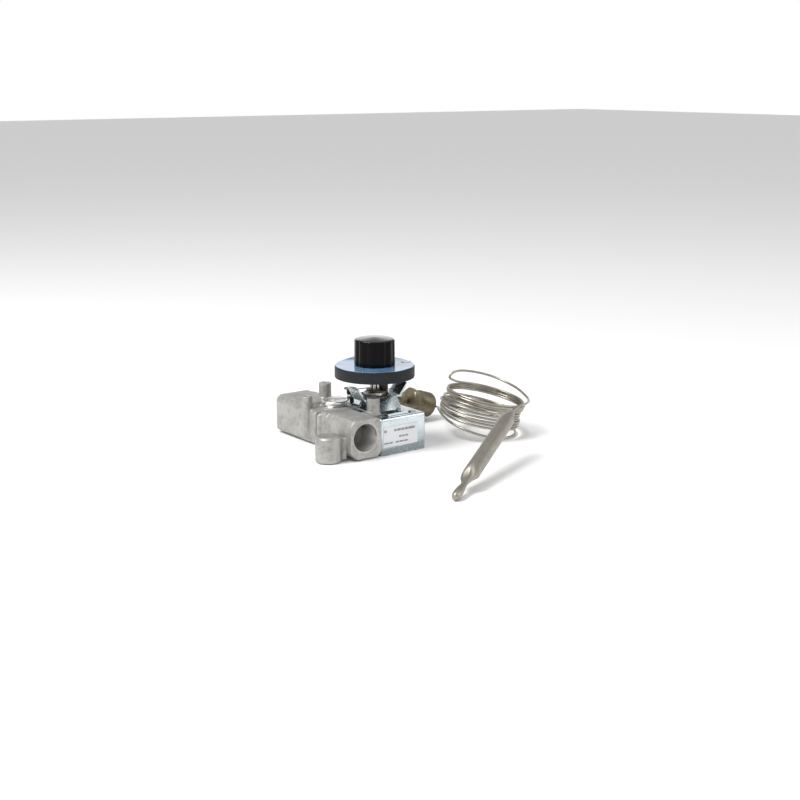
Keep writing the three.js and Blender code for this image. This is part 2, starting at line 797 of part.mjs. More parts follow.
// A washer under the nut, with an upturned arc that the collar's pin meets at each end of the turn.
function makeStopWasher() {
  const top = stopWasherBottom + stopWasherThickness;
  const disc = rod("z", [dialX, dialY], stopWasherRadius, stopWasherBottom, top, { sides: 48 });
  const arcOuter = rod("z", [dialX, dialY], stopWasherRadius, stopWasherBottom, stopArcTop, { sides: 48 });
  const arcInner = rod("z", [dialX, dialY], stopWasherRadius - stopArcWall, top, stopArcTop + 1, { sides: 48 });
  const reach = 2 * stopWasherRadius;
  const corners = [-1, 0, 1].map((step) => {
    const angle = THREE.MathUtils.degToRad(stopArcAngle + step * stopArcHalf);
    return [dialX + reach * Math.cos(angle), dialY + reach * Math.sin(angle)];
  });
  const wedge = prism("z", [[dialX, dialY], ...corners], stopWasherBottom, stopArcTop + 1);
  const bore = rod("z", [dialX, dialY], bushRadius + restGap, stopWasherBottom - 1, top + 1, { sides: 28 });
  return arcOuter.subtract(arcInner).intersect(wedge).add(disc).subtract(bore);
}

// A strip of spring steel round the shaft. Its front wing rises towards the dial, and its rear wing
// comes down to an eye that rests on the bypass screw's cap.
function makeLeafSpring() {
  const top = leafBottom + leafThickness;
  const eyeBottom = bypassTop + restGap;
  const eyeTop = eyeBottom + leafThickness;
  const frontEnd = dialY - leafFrontLength;
  const hubFront = dialY - leafRadius;
  const hubBack = dialY + leafRadius;
  const eyeFront = bypassY - leafEyeRadius;
  const outline = [
    [frontEnd, leafBottom + leafFrontRise],
    [hubFront, leafBottom],
    [hubBack, leafBottom],
    [eyeFront, eyeBottom],
    [bypassY, eyeBottom],
    [bypassY, eyeTop],
    [eyeFront, eyeTop],
    [hubBack, top],
    [hubFront, top],
    [frontEnd, top + leafFrontRise],
  ];
  const strip = prism("x", outline, dialX - leafWidth / 2, dialX + leafWidth / 2);
  const hub = rod("z", [dialX, dialY], leafRadius, leafBottom, top, { sides: 28 });
  const eye = rod("z", [bypassX, bypassY], leafEyeRadius, eyeBottom, eyeTop);
  const bore = rod("z", [dialX, dialY], shaftRadius + 0.25, leafBottom - 1, top + 1, { sides: 28 });
  return strip.add(hub).add(eye).subtract(bore);
}

// A collar on the shaft, with the pin that meets the stop.
function makeStopCollar() {
  const top = collarBottom + collarThickness;
  const pinZ = collarBottom + collarThickness / 2;
  const pin = rod("x", [0, pinZ], collarPinRadius, shaftRadius + 1, pinReach, { sides: 12 })
    .rotate([0, 0, pinRestAngle])
    .translate([dialX, dialY, 0]);
  const collar = rod("z", [dialX, dialY], collarRadius, collarBottom, top, { sides: 32 });
  const bore = rod("z", [dialX, dialY], shaftRadius + restGap, collarBottom - 1, top + 1, { sides: 32 });
  return collar.subtract(bore).add(pin);
}

function makeShaftClip() {
  const top = bushBottom - restGap;
  const ring = rod("z", [dialX, dialY], clipRadius, top - clipThickness, top);
  const bore = rod("z", [dialX, dialY], shaftRadius + restGap, top - 2, top + 1, { sides: 32 });
  const mouth = block([dialX - 1.6, dialX + 1.6], [dialY, dialY + 2 * clipRadius], [top - 2, top + 1]);
  return ring.subtract(bore).subtract(mouth);
}

// ---- Shaft, dial, film and knob ----

const shaftBottom = carrierZ + carrierThickness + 1.6;
const flatBottom = collarBottom + collarThickness + 0.6;
const shaftTop = knobBottom + knobHeight * 0.6;

function makeShaft() {
  const round = rod("z", [dialX, dialY], shaftRadius, shaftBottom, flatBottom, { sides: 32 });
  const flatted = flattedRod([dialX, dialY], shaftRadius, shaftFlat, flatBottom - 0.5, shaftTop);
  const screw = rod("z", [dialX, dialY], screwRadius, shaftBottom - screwLength, shaftBottom + 0.5);
  return round.add(flatted).add(screw);
}

function shaftSocket(from, to) {
  return flattedRod([dialX, dialY], shaftRadius + restGap, shaftFlat + restGap, from, to);
}

function makeDial() {
  const disc = turned([dialX, dialY], [
    [0, dialBottom],
    [dialRadius - dialEdge, dialBottom],
    [dialRadius, dialBottom + dialEdge],
    [dialRadius, dialTop - dialEdge],
    [dialRadius - dialEdge, dialTop],
    [0, dialTop],
  ], 60);
  return disc.subtract(shaftSocket(dialBottom - 1, dialTop + 1));
}

function makeDialFilm() {
  const disc = rod("z", [dialX, dialY], filmRadius, filmBottom, filmBottom + filmThickness, { sides: 60 });
  return disc.subtract(shaftSocket(filmBottom - 1, filmBottom + 1));
}

// A fluted knob with a low conical crown.
function makeKnob() {
  const outline = [];
  const steps = knobFlutes * 6;
  for (let i = 0; i < steps; i += 1) {
    const angle = (i / steps) * 2 * Math.PI;
    const wave = Math.abs(Math.sin((angle * knobFlutes) / 2));
    const radius = knobRadius - knobFluteDepth * (1 - wave);
    outline.push([dialX + radius * Math.cos(angle), dialY + radius * Math.sin(angle)]);
  }
  const rim = knobBottom + knobHeight;
  const body = prism("z", outline, knobBottom, rim + knobCrown);
  const cap = turned([dialX, dialY], [
    [0, knobBottom],
    [knobRadius, knobBottom],
    [knobRadius, rim - 0.5],
    [knobRadius - 0.6, rim],
    [knobRadius * 0.5, rim + knobCrown * 0.62],
    [0, rim + knobCrown],
  ], 48);
  return body.intersect(cap).subtract(shaftSocket(knobBottom - 1, shaftTop + 0.6));
}

// ---- Bypass adjusting screw ----

const bypassSteps = [housingHeight + restGap, 25.7, 28.1];

function makeBypassBush() {
  const [low, high] = bypassSteps;
  const bore = rod("z", [bypassX, bypassY], bypassShankRadius + restGap, low - 1, high + 1, { sides: 16 });
  return rod("z", [bypassX, bypassY], bypassCapRadius, low, high).subtract(bore);
}

function makeBypassScrew() {
  const [, low, high] = bypassSteps;
  const collar = rod("z", [bypassX, bypassY], bypassCollarRadius, low + restGap, high);
  const shank = rod("z", [bypassX, bypassY], bypassShankRadius, housingHeight - 5, bypassTop - 1.6, { sides: 16 });
  return collar.add(shank);
}

function makeBypassCap() {
  const low = bypassSteps[2] + restGap;
  const head = rod("z", [bypassX, bypassY], bypassCapRadius, low, bypassTop, { endRadius: bypassCapRadius * 0.85 });
  const socket = rod("z", [bypassX, bypassY], bypassShankRadius + restGap, low - 1, bypassTop - 1.3, { sides: 16 });
  const slot = block([bypassX - 4, bypassX + 4], [bypassY - 0.4, bypassY + 0.4], [bypassTop - 0.8, bypassTop + 1]);
  return head.subtract(socket).subtract(slot);
}

// ---- Temperature linkage ----

// The arm that rides on the shaft's screw and carries the power element.
function makeCarrier() {
  const half = carrierWidth / 2;
  const top = carrierZ + carrierThickness;
  const along = new THREE.Vector2(capsuleX - dialX, plugY - dialY).normalize().multiplyScalar(half);
  const outline = [
    [dialX + along.y, dialY - along.x],
    [capsuleX + along.y, plugY - along.x],
    [capsuleX - along.y, plugY + along.x],
    [dialX - along.y, dialY + along.x],
  ];
  return prism("z", outline, carrierZ, top)
    .add(rod("z", [dialX, dialY], half, carrierZ, top))
    .add(rod("z", [capsuleX, plugY], half, carrierZ, top))
    .subtract(rod("z", [dialX, dialY], screwRadius + cutGap, carrierZ - 1, top + 1));
}

const capsuleTop = carrierZ - restGap;
const capsuleBottom = capsuleTop - capsuleThickness;

function makeCapsule() {
  const lip = 0.5;
  const middle = (capsuleTop + capsuleBottom) / 2;
  const shoulder = capsuleRadius * 0.72;
  return turned([capsuleX, plugY], [
    [0, capsuleBottom],
    [shoulder, capsuleBottom],
    [shoulder + 0.9, middle - lip],
    [capsuleRadius, middle - lip],
    [capsuleRadius, middle + lip],
    [shoulder + 0.9, middle + lip],
    [shoulder, capsuleTop],
    [0, capsuleTop],
  ]);
}

function makeButton() {
  return rod("z", [capsuleX, plugY], buttonRadius, leverZ + leverThickness + linkGap, capsuleBottom - restGap,
    { sides: 16 });
}

function makeLever() {
  const pinZ = leverZ + leverThickness / 2;
  const [near, far] = [plugY - leverWidth / 2, plugY + leverWidth / 2];
  const bar = block([plugX - 2.4, capsuleX + 2.4], [near, far], [leverZ, leverZ + leverThickness]);
  const hub = rod("y", [leverPivotX, pinZ], leverHubRadius, near, far);
  return bar.add(hub).subtract(rod("y", [leverPivotX, pinZ], leverPinRadius + 0.1, near - 1, far + 1, { sides: 16 }));
}

function makeLeverPin() {
  const reach = leverWidth / 2 + 2.6;
  return rod("y", [leverPivotX, leverZ + leverThickness / 2], leverPinRadius, plugY - reach, plugY + reach,
    { sides: 16 });
}

// ---- Gland fitting, capillary and bulb ----

// Places a piece made upright from the origin so that it starts at a point and runs along a direction.
function placed(made, start, direction) {
  const turn = new THREE.Quaternion().setFromUnitVectors(new THREE.Vector3(0, 0, 1), direction);
  const matrix = new THREE.Matrix4().compose(start, turn, new THREE.Vector3(1, 1, 1));
  return made.transform([...matrix.elements]);
}

const tilt = THREE.MathUtils.degToRad(glandTilt);
const glandDirection = new THREE.Vector3(Math.cos(tilt), 0, -Math.sin(tilt));
const alongGland = (distance) => glandStart.clone().addScaledVector(glandDirection, distance);

function makeGlandBody() {
  const corner = glandHexAcross / Math.sqrt(3);
  const hex = hexagon([0, 0], glandHexAcross, glandHexStart, glandHexEnd).rotate([0, 0, 14]);
  const chamfer = turned([0, 0], [
    [0, glandHexStart],
    [glandHexAcross / 2, glandHexStart],
    [corner + 0.1, glandHexStart + 0.9],
    [corner + 0.1, glandHexEnd],
    [0, glandHexEnd],
  ]);
  const thread = turned([0, 0], [
    [0, glandHexEnd - 0.5],
    [glandThreadRadius - 1, glandHexEnd - 0.5],
    [glandThreadRadius - 1, glandHexEnd + 1.5],
    [glandThreadRadius, glandHexEnd + 2.5],
    [glandThreadRadius, glandLength - 1],
    [glandThreadRadius - 1, glandLength],
    [0, glandLength],
  ]);
  const pocket = rod("z", [0, 0], followerRadius + cutGap, glandHexStart - 1, packingEnd + 0.1);
  const bore = rod("z", [0, 0], capillaryBore, glandHexStart - 1, glandLength + 1, { sides: 16 });
  return placed(hex.intersect(chamfer).add(thread).subtract(pocket).subtract(bore), glandStart, glandDirection);
}

function makeGlandFollower() {
  const sleeve = rod("z", [0, 0], followerRadius, 0, followerLength);
  const head = hexagon([0, 0], 2.7 * followerRadius, 0, glandHexStart - 4.2);
  const bore = rod("z", [0, 0], capillaryBore, -1, followerLength + 1, { sides: 16 });
  return placed(sleeve.add(head).subtract(bore), glandStart, glandDirection);
}

function makeGlandPacking() {
  const ring = rod("z", [0, 0], followerRadius, packingStart, packingEnd);
  const bore = rod("z", [0, 0], capillaryBore, packingStart - 1, packingEnd + 1, { sides: 16 });
  return placed(ring.subtract(bore), glandStart, glandDirection);
}

// A plain round stretch of the capillary through a list of places.
function capillary(places, steps) {
  const line = new THREE.CatmullRomCurve3(places, false, "centripetal");
  const section = new THREE.Shape().absarc(0, 0, capillaryRadius, 0, 2 * Math.PI);
  return new THREE.ExtrudeGeometry(section, { steps, curveSegments: 4, extrudePath: line });
}

// From the ferrule, through the gland, and back round to the near side of the coil.
function makeCapillaryLead() {
  const start = housingRight + ferruleLength;
  const point = (x, y, z) => new THREE.Vector3(x, y, z);
  return capillary([
    point(start - ferruleBoreDepth + 0.2, ferruleY, ferruleZ),
    point(start, ferruleY, ferruleZ),
    point(start + 3.5, ferruleY + 0.3, ferruleZ + 0.3),
    point(start + 9, ferruleY + 3, ferruleZ + 1.2),
    alongGland(-5.5).add(point(0, -1.4, -0.4)),
    alongGland(-1.5),
    alongGland(0.5),
    alongGland(glandLength / 2),
    alongGland(glandLength - 0.5),
    alongGland(glandLength + 0.8),
    point(101, 61.6, 7),
    point(102.2, 59.8, 6.9),
    point(101.4, 56.5, 7.2),
    point(96.5, 48.5, 9),
    point(87.5, 38.5, 11.5),
    point(82.5, 31.5, 13),
  ], 56);
}

// The coil as one plain ring that leans towards the fitting.
function makeCoil() {
  const half = coilHeight / 2;
  const middle = (coilInnerRadius + coilOuterRadius) / 2;
  const ring = turned([0, 0], [
    [coilInnerRadius, 0],
    [coilInnerRadius + 1, -half + 2],
    [middle, -half],
    [coilOuterRadius, -half + 3],
    [coilOuterRadius, half - 3],
    [middle, half],
    [coilInnerRadius + 1, half - 2],
    [coilInnerRadius, 0],
  ], 36);
  return ring.rotate([0, coilTilt, 0]).rotate([0, 0, coilSkew]).translate(coilCentre.toArray());
}

// From the top of the coil, round one high loose loop, and down to the bulb.
function makeCapillaryTail() {
  const places = [
    [102.9, 31.2, 28.9],
    [99, 30, 30],
    [93.5, 30.2, 32],
    [90, 30, 34.5],
    [91.8, 29.6, 37],
    [97.5, 29.5, 38],
    [103.5, 27, 37.5],
    [110.5, 22.5, 36],
    [116, 16, 34],
    [119.5, 7.5, 31.5],
    [119.4, -3.5, 29.5],
    [115.5, -15.5, 28],
    [110.5, -25.5, 27.2],
    [104, -33, 27.5],
    [96.5, -38.5, 28.2],
    [88.5, -42.4, 28.9],
    [82, -44.8, 28.3],
  ].map((place) => new THREE.Vector3(...place));
  places.push(bulbEnd.clone());
  return capillary(places, 56);
}

// The bulb, closed by a crimp at its tip and drawn down to the capillary at its other end.
function makeSensingBulb() {
  const along = bulbEnd.clone().sub(bulbTip);
  const length = along.length();
  const bulb = turned([0, 0], [
    [0, 0],
    [1.9, 0.8],
    [2.7, 2.7],
    [1.9, 8],
    [bulbRadius * 0.75, 16],
    [bulbRadius, 25],
    [bulbRadius, length - 18],
    [bulbRadius - 0.8, length - 10],
    [1.5, length - 0.6],
    [0, length - 0.6],
  ], 24);
  return placed(bulb, bulbTip, along.normalize());
}

// ---- Assembly ----

addPiece("outlet_casting", makeOutletCasting(), "casting");
addPiece("inlet_casting", makeInletCasting(), "casting");
addPiece("body_gasket", makeGasket(), "gasket");
for (const { name, x, z, headSide } of bodyScrewPlaces) {
  const [head, end] = bodyScrewSpan(headSide);
  addPiece(name, panScrew("y", [x, z], head, end, 2.2, 1.6, 1.3), "steel");
}
addPiece("access_plug", makeAccessPlug(), "plug");
addPiece("plug_seal_ring", makeSealRing(), "rubber");
addPiece("valve_seat", makeValveSeat(), "brass");
addPiece("valve_disc", makeValveDisc(), "rubber");
addPiece("push_pin", makePushPin(), "steel");
addPiece("valve_spring", makeValveSpring(), "springSteel");
addPiece("housing", makeHousing(), "zinc");
addPiece("housing_base", makeHousingBase(), "zinc");
addPiece("label", makeLabel(), "paper");
addPiece("capillary_ferrule", makeFerrule(), "dullBrass");
for (const { name, y, z } of housingScrews) {
  const head = housingLeft + housingWall + restGap;
  addPiece(name, panScrew("x", [y, z], head, castingRight - housingScrewDepth, 2.2, 1.6, 1.3), "steel");
}
addPiece("bracket", makeBracket(), "zinc");
for (const [name, y] of [["bracket_screw_front", frontScrewY], ["bracket_screw_rear", backScrewY]]) {
  const head = housingHeight + bracketThickness + 2 * restGap;
  addPiece(name, panScrew("z", [bracketScrewX, y], head, housingHeight - 3, 2.6, 1.8, 1.3), "steel");
}
addPiece("shaft_bush", makeBush(), "brass");
addPiece("bush_nut", makeBushNut(), "steel");
addPiece("stop_washer", makeStopWasher(), "springSteel");
addPiece("leaf_spring", makeLeafSpring(), "springSteel");
addPiece("stop_collar", makeStopCollar(), "steel");
addPiece("shaft_clip", makeShaftClip(), "springSteel");
addPiece("dial_shaft", makeShaft(), "steel");
addPiece("dial", makeDial(), "blackDial");
addPiece("dial_film", makeDialFilm(), "film");
addPiece("knob", makeKnob(), "blackPlastic");
addPiece("bypass_bush", makeBypassBush(), "blackPlastic");
addPiece("bypass_screw", makeBypassScrew(), "steel");
addPiece("bypass_cap", makeBypassCap(), "blackPlastic");
addPiece("carrier", makeCarrier(), "zinc");
addPiece("power_capsule", makeCapsule(), "brass");
addPiece("capsule_button", makeButton(), "steel");
addPiece("snap_lever", makeLever(), "zinc");
addPiece("lever_pin", makeLeverPin(), "steel");

addPiece("gland_body", makeGlandBody(), "dullBrass", probe);
addPiece("gland_follower", makeGlandFollower(), "dullBrass", probe);
addPiece("gland_packing", makeGlandPacking(), "gasket", probe);
addPiece("capillary_lead", makeCapillaryLead(), "capillary", probe);
addPiece("capillary_coil", makeCoil(), "capillary", probe);
addPiece("capillary_tail", makeCapillaryTail(), "capillary", probe);
addPiece("sensing_bulb", makeSensingBulb(), "capillary", probe);

// The valve without its free capillary stands centred on the origin.
const model = new THREE.Group();
model.add(valve, probe);
const extent = new THREE.Box3().setFromObject(valve);
const middle = extent.getCenter(new THREE.Vector3());
model.position.set(-middle.x, -middle.y, -extent.min.z);

export default model;
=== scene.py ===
# %% [markdown]
# # A gas valve with a temperature dial
#
# The valve is two castings bolted end to end, a folded steel box on their side, and a dial and
# knob on a bridge above the box. A thin metal tube leaves the box, passes through a screwed
# fitting, is coiled up, and ends in a sealed bulb. The measured frame is already made, so this
# script adds the finished surfaces and the small detail round it.

import json
import math

import bmesh
import bpy
from mathutils import Matrix, Vector


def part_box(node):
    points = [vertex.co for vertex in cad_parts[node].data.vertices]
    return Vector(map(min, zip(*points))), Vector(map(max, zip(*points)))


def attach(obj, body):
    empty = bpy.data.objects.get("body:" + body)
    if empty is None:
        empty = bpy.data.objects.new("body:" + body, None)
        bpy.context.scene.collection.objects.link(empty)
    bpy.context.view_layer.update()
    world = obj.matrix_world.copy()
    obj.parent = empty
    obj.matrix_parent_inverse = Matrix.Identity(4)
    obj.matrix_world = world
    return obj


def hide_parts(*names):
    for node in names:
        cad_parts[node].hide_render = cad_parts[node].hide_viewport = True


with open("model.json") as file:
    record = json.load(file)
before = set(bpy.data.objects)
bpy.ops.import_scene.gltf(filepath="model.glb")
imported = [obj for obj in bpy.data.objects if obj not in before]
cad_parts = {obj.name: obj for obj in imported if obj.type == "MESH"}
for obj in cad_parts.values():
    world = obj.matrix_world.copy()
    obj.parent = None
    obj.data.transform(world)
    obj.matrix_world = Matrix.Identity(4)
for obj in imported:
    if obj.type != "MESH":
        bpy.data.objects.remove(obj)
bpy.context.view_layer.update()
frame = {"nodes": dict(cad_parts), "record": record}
nodes = frame["nodes"]
MM = 0.001

# %% [markdown]
# All the sizes below are in millimetres from one handy place: on the outlet port's face, 13 mm
# straight below its middle. The dial's box says where that place is in the frame, because the
# dial's axis stands 24 mm to the right of it and 23.8 mm behind it, and its underside is 44.7 mm up.

# %% Find the outlet port's place in the frame
DIAL_AXIS = (24.0, 23.8)
DIAL_UNDERSIDE = 44.7
dial_low, dial_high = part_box("dial")
dial_middle = (dial_low + dial_high) / 2
dial_seat = Vector((dial_middle.x, dial_middle.y, dial_low.z))
ORIGIN = dial_seat - Vector((*DIAL_AXIS, DIAL_UNDERSIDE)) * MM
TO_FRAME = Matrix.Translation(ORIGIN) @ Matrix.Scale(MM, 4)
FLOOR_Z = -1.2
PLUG_AXIS = (10.6, 48.4)
BYPASS_AXIS = (24.6, 52)
TUBE_EXIT = (53.4, 55.4, 17)


def at(x, y, z):
    """A place in millimetres from the outlet port, as a place in the frame."""
    return TO_FRAME @ Vector((x, y, z))


print("outlet port stands at", [round(v, 5) for v in ORIGIN])

# %% [markdown]
# The camera comes first, because the free tube has to lie inside its view. It looks down a little,
# from the corner between the port's face and the left side, through a fairly long lens.

# %% Place the camera
LOOK_AZIMUTH = math.radians(36.846)
LOOK_DOWN = math.radians(13.191)
CAMERA_PLACE = (-483.81, -680.65, 232.74)
level = math.cos(LOOK_DOWN)
look = Vector((
    level * math.sin(LOOK_AZIMUTH),
    level * math.cos(LOOK_AZIMUTH),
    -math.sin(LOOK_DOWN),
))
camera_data = bpy.data.cameras.new("camera")
camera_data.lens = 63
camera_data.sensor_width = 36
camera_data.clip_end = 20
camera = bpy.data.objects.new("camera", camera_data)
camera.location = at(*CAMERA_PLACE)
camera.rotation_euler = look.to_track_quat("-Z", "Y").to_euler()
bpy.context.scene.collection.objects.link(camera)
bpy.context.scene.camera = camera
print("camera at", [round(v, 4) for v in camera.location])

# %% [markdown]
# Every finish is built the same way, so two small classes carry the work. `Signal` wraps one shader
# socket and turns ordinary sums into Math nodes. `Finish` wraps one material, and its `node` method
# adds any other node. What is the same all over a surface is written straight onto the shader.


# %% A socket that can be added and multiplied
class Signal:
    def __init__(self, tree, socket):
        self.tree = tree
        self.socket = socket

    def math(self, operation, first, second):
        node = self.tree.nodes.new("ShaderNodeMath")
        node.operation = operation
        for slot, value in zip(node.inputs, (first, second)):
            if isinstance(value, Signal):
                self.tree.links.new(value.socket, slot)
            else:
                slot.default_value = value
        return Signal(self.tree, node.outputs[0])

    def __add__(self, other):
        return self.math("ADD", self, other)

    def __radd__(self, other):
        return self.math("ADD", other, self)

    def __sub__(self, other):
        return self.math("SUBTRACT", self, other)

    def __rsub__(self, other):
        return self.math("SUBTRACT", other, self)

    def __mul__(self, other):
        return self.math("MULTIPLY", self, other)

    def __rmul__(self, other):
        return self.math("MULTIPLY", other, self)

    def __truediv__(self, other):
        return self.math("DIVIDE", self, other)

    def __rtruediv__(self, other):
        return self.math("DIVIDE", other, self)

    def sine(self):
        return self.math("SINE", self, 0.0)

    def above(self, edge, width):
        """0 below the edge and 1 above it, with a soft step of the given width."""
        clamp = self.tree.nodes.new("ShaderNodeClamp")
        step = (self - edge) / width + 0.5
        self.tree.links.new(step.socket, clamp.inputs[0])
        return Signal(self.tree, clamp.outputs[0])


# %% [markdown]
# A finish starts as one plain colour, roughness and metalness. Patterns are read in the object's
# own space, so they are fixed to the surface, and their sizes are given in millimetres.

# %% A material with its own small workshop
COLOUR_A, COLOUR_B, MIXED_COLOUR = 6, 7, 2  # a Mix node's sockets when it mixes colours


class Finish:
    def __init__(self, name, colour, roughness, metallic=0.0, **fixed):
        self.material = bpy.data.materials.new(name)
        self.material.use_nodes = True
        self.tree = self.material.node_tree
        self.shader = self.tree.nodes["Principled BSDF"]
        self.colour = (*colour, 1.0)
        self.shader.inputs["Base Color"].default_value = self.colour
        self.shader.inputs["Roughness"].default_value = roughness
        self.shader.inputs["Metallic"].default_value = metallic
        for key, value in fixed.items():
            self.shader.inputs[key.replace("_", " ")].default_value = value
        self.place = Signal(self.tree, self.tree.nodes.new("ShaderNodeTexCoord").outputs["Object"])

    def node(self, kind, settings=None, links=None, output=0):
        made = self.tree.nodes.new(kind)
        for key, value in (settings or {}).items():
            setattr(made, key, value)
        for key, value in (links or {}).items():
            if isinstance(value, Signal):
                self.tree.links.new(value.socket, made.inputs[key])
            else:
                made.inputs[key].default_value = value
        return Signal(self.tree, made.outputs[output])

    def moved(self, offset=(0, 0, 0), turn=(0, 0, 0), scale=(1, 1, 1)):
        """The place on the surface after it is shifted, turned and stretched."""
        links = {"Vector": self.place, "Location": offset, "Rotation": turn, "Scale": scale}
        return self.node("ShaderNodeMapping", {"vector_type": "POINT"}, links)

    def noise(self, size, detail=3.0, where=None):
        """Cloudy variation from 0 to 1 whose patches are about this many millimetres across."""
        links = {"Vector": where or self.place, "Scale": 1 / (size * MM), "Detail": detail}
        return self.node("ShaderNodeTexNoise", {}, links)

    def mixed(self, amount, second):
        """The finish's own colour, changed towards a second one by an amount from 0 to 1."""
        links = {"Factor": amount, COLOUR_A: self.colour, COLOUR_B: (*second, 1.0)}
        return self.node("ShaderNodeMix", {"data_type": "RGBA"}, links, output=MIXED_COLOUR)

    def feed(self, name, signal):
        self.tree.links.new(signal.socket, self.shader.inputs[name])

    def bump(self, height, depth):
        """Raises the surface by up to this many millimetres where height is 1."""
        links = {"Height": height, "Distance": depth * MM, "Strength": 1.0}
        self.feed("Normal", self.node("ShaderNodeBump", {}, links))
        return self


# %% [markdown]
# The two castings are aluminium poured into a steel die. They come out a light warm grey with a
# fine sandy skin, cloudy patches where the metal cooled at different speeds, and slightly darker
# hollows. A half-metal shader keeps them from looking like either chalk or chrome.

# %% Cast aluminium
def make_cast(name, colour):
    cast = Finish(name, colour, 0.5, 0.6)
    clouds = cast.noise(11.0, 4.0)
    mottle = cast.noise(2.6, 3.0)
    grain = cast.noise(0.8, 2.0)
    pits = cast.noise(1.8, 2.0).above(0.66, 0.08)
    darker = tuple(v * 0.45 for v in colour)
    patches = clouds.above(0.54, 0.3) * 0.35 + mottle.above(0.56, 0.2) * 0.35
    cast.feed("Base Color", cast.mixed(patches + pits * 0.15, darker))
    cast.feed("Roughness", 0.34 + clouds * 0.16 + grain * 0.12)
    return cast.bump(grain * 0.4 + mottle * 0.6 - pits * 0.5, 0.16)


CAST = make_cast("cast_aluminium", (0.46, 0.45, 0.425))
print("castings' finish has", len(CAST.tree.nodes), "nodes")

# %% [markdown]
# Plated sheet steel is bright and a little blue. The plating hides the steel's rolling lines but
# leaves a faint spangle, so the colour and the gloss wander slightly from patch to patch.

# %% Zinc plating
ZINC = Finish("zinc_plate", (0.72, 0.79, 0.82), 0.22, 1.0)
spangle = ZINC.noise(5.0, 2.0)
scuffs = ZINC.noise(0.8, 3.0, ZINC.moved(scale=(1, 0.08, 1)))
ZINC.feed("Base Color", ZINC.mixed(spangle, (0.62, 0.70, 0.745)))
ZINC.feed("Roughness", 0.14 + spangle * 0.16 + scuffs.above(0.6, 0.1) * 0.1)
ZINC.bump(spangle * 0.7 + scuffs * 0.3, 0.008)

# %% [markdown]
# Turned metal carries the marks of the tool: rings round its axis. Their height is the sine of the
# distance from that axis, so the rings need no picture, only the place of the axis.


# %% Turned and drawn metals
def turned_rings(finish, axis_place, pitch):
    """A wave that rises and falls with the distance from an upright axis."""
    centred = finish.moved(offset=(-axis_place.x, -axis_place.y, 0))
    flat = finish.node("ShaderNodeVectorMath", {"operation": "MULTIPLY"}, {0: centred, 1: (1, 1, 0)})
    radius = finish.node("ShaderNodeVectorMath", {"operation": "LENGTH"}, {0: flat}, output="Value")
    return (radius * (2 * math.pi / (pitch * MM))).sine()


TURNED = Finish("turned_aluminium", (0.83, 0.83, 0.82), 0.24, 1.0)
rings = turned_rings(TURNED, at(*PLUG_AXIS, 0), 0.45)
TURNED.feed("Roughness", 0.2 + TURNED.noise(2.0) * 0.14)
TURNED.bump(rings * 0.5 + TURNED.noise(0.5) * 0.5, 0.02)

STEEL = Finish("bright_steel", (0.62, 0.62, 0.61), 0.22, 1.0)
STEEL.feed("Roughness", 0.14 + STEEL.noise(1.2, 3.0, STEEL.moved(scale=(1, 1, 0.2))) * 0.2)
STEEL.bump(STEEL.noise(0.3, 2.0, STEEL.moved(scale=(1, 1, 6))), 0.01)

SCREW = Finish("steel_screw", (0.58, 0.60, 0.60), 0.3, 1.0)
SCREW.feed("Roughness", 0.2 + SCREW.noise(1.0) * 0.22)
SCREW.bump(SCREW.noise(0.4), 0.02)

SPRING = Finish("spring_steel", (0.045, 0.042, 0.04), 0.35, 0.9)
oil = SPRING.noise(2.5)
SPRING.feed("Base Color", SPRING.mixed(oil.above(0.62, 0.2), (0.16, 0.15, 0.14)))
SPRING.feed("Roughness", 0.25 + oil * 0.2)
SPRING.bump(SPRING.noise(0.6), 0.015)

BRASS = Finish("yellow_brass", (0.60, 0.44, 0.19), 0.3, 1.0)
BRASS.feed("Roughness", 0.2 + BRASS.noise(1.5) * 0.2)
BRASS.bump(BRASS.noise(0.5), 0.02)

# %% [markdown]
# The fitting is brass that has gone a dull olive brown in store. It keeps a little shine on top of
# the tarnish, and its stains are soft patches a few millimetres across.

# %% Tarnished brass
DULL = Finish("dull_brass", (0.235, 0.20, 0.135), 0.4, 0.85)
stain = DULL.noise(4.0, 4.0)
turning = DULL.noise(0.7, 2.0, DULL.moved(scale=(2.2, 0.1, 0.1)))
DULL.feed("Base Color", DULL.mixed(stain.above(0.5, 0.4), (0.15, 0.125, 0.08)))
DULL.feed("Roughness", 0.3 + stain * 0.22)
DULL.bump(turning * 0.6 + stain * 0.4, 0.04)

# %% [markdown]
# The thin tube and the bulb are plated copper, drawn through a die. Drawing leaves fine lines along
# the length and a warm silver-grey colour that is duller than new plating.

# %% Drawn capillary metal
CAPILLARY = Finish("capillary_metal", (0.47, 0.445, 0.395), 0.3, 1.0)
tone = CAPILLARY.noise(7.0, 3.0)
CAPILLARY.feed("Base Color", CAPILLARY.mixed(tone.above(0.5, 0.5), (0.31, 0.285, 0.24)))
CAPILLARY.feed("Roughness", 0.22 + tone * 0.2)
CAPILLARY.bump(CAPILLARY.noise(0.4, 2.0), 0.01)

BULB = Finish("bulb_metal", (0.40, 0.375, 0.33), 0.34, 0.95)
bulb_tone = BULB.noise(6.0, 4.0)
drawn = BULB.noise(0.5, 2.0, BULB.moved(turn=(0, 0, math.radians(-31)), scale=(0.12, 2, 2)))
BULB.feed("Base Color", BULB.mixed(bulb_tone.above(0.5, 0.5) * 0.7, (0.27, 0.25, 0.215)))
BULB.feed("Roughness", 0.3 + bulb_tone * 0.16 + drawn * 0.1)
BULB.bump(drawn * 0.7 + bulb_tone * 0.3, 0.02)
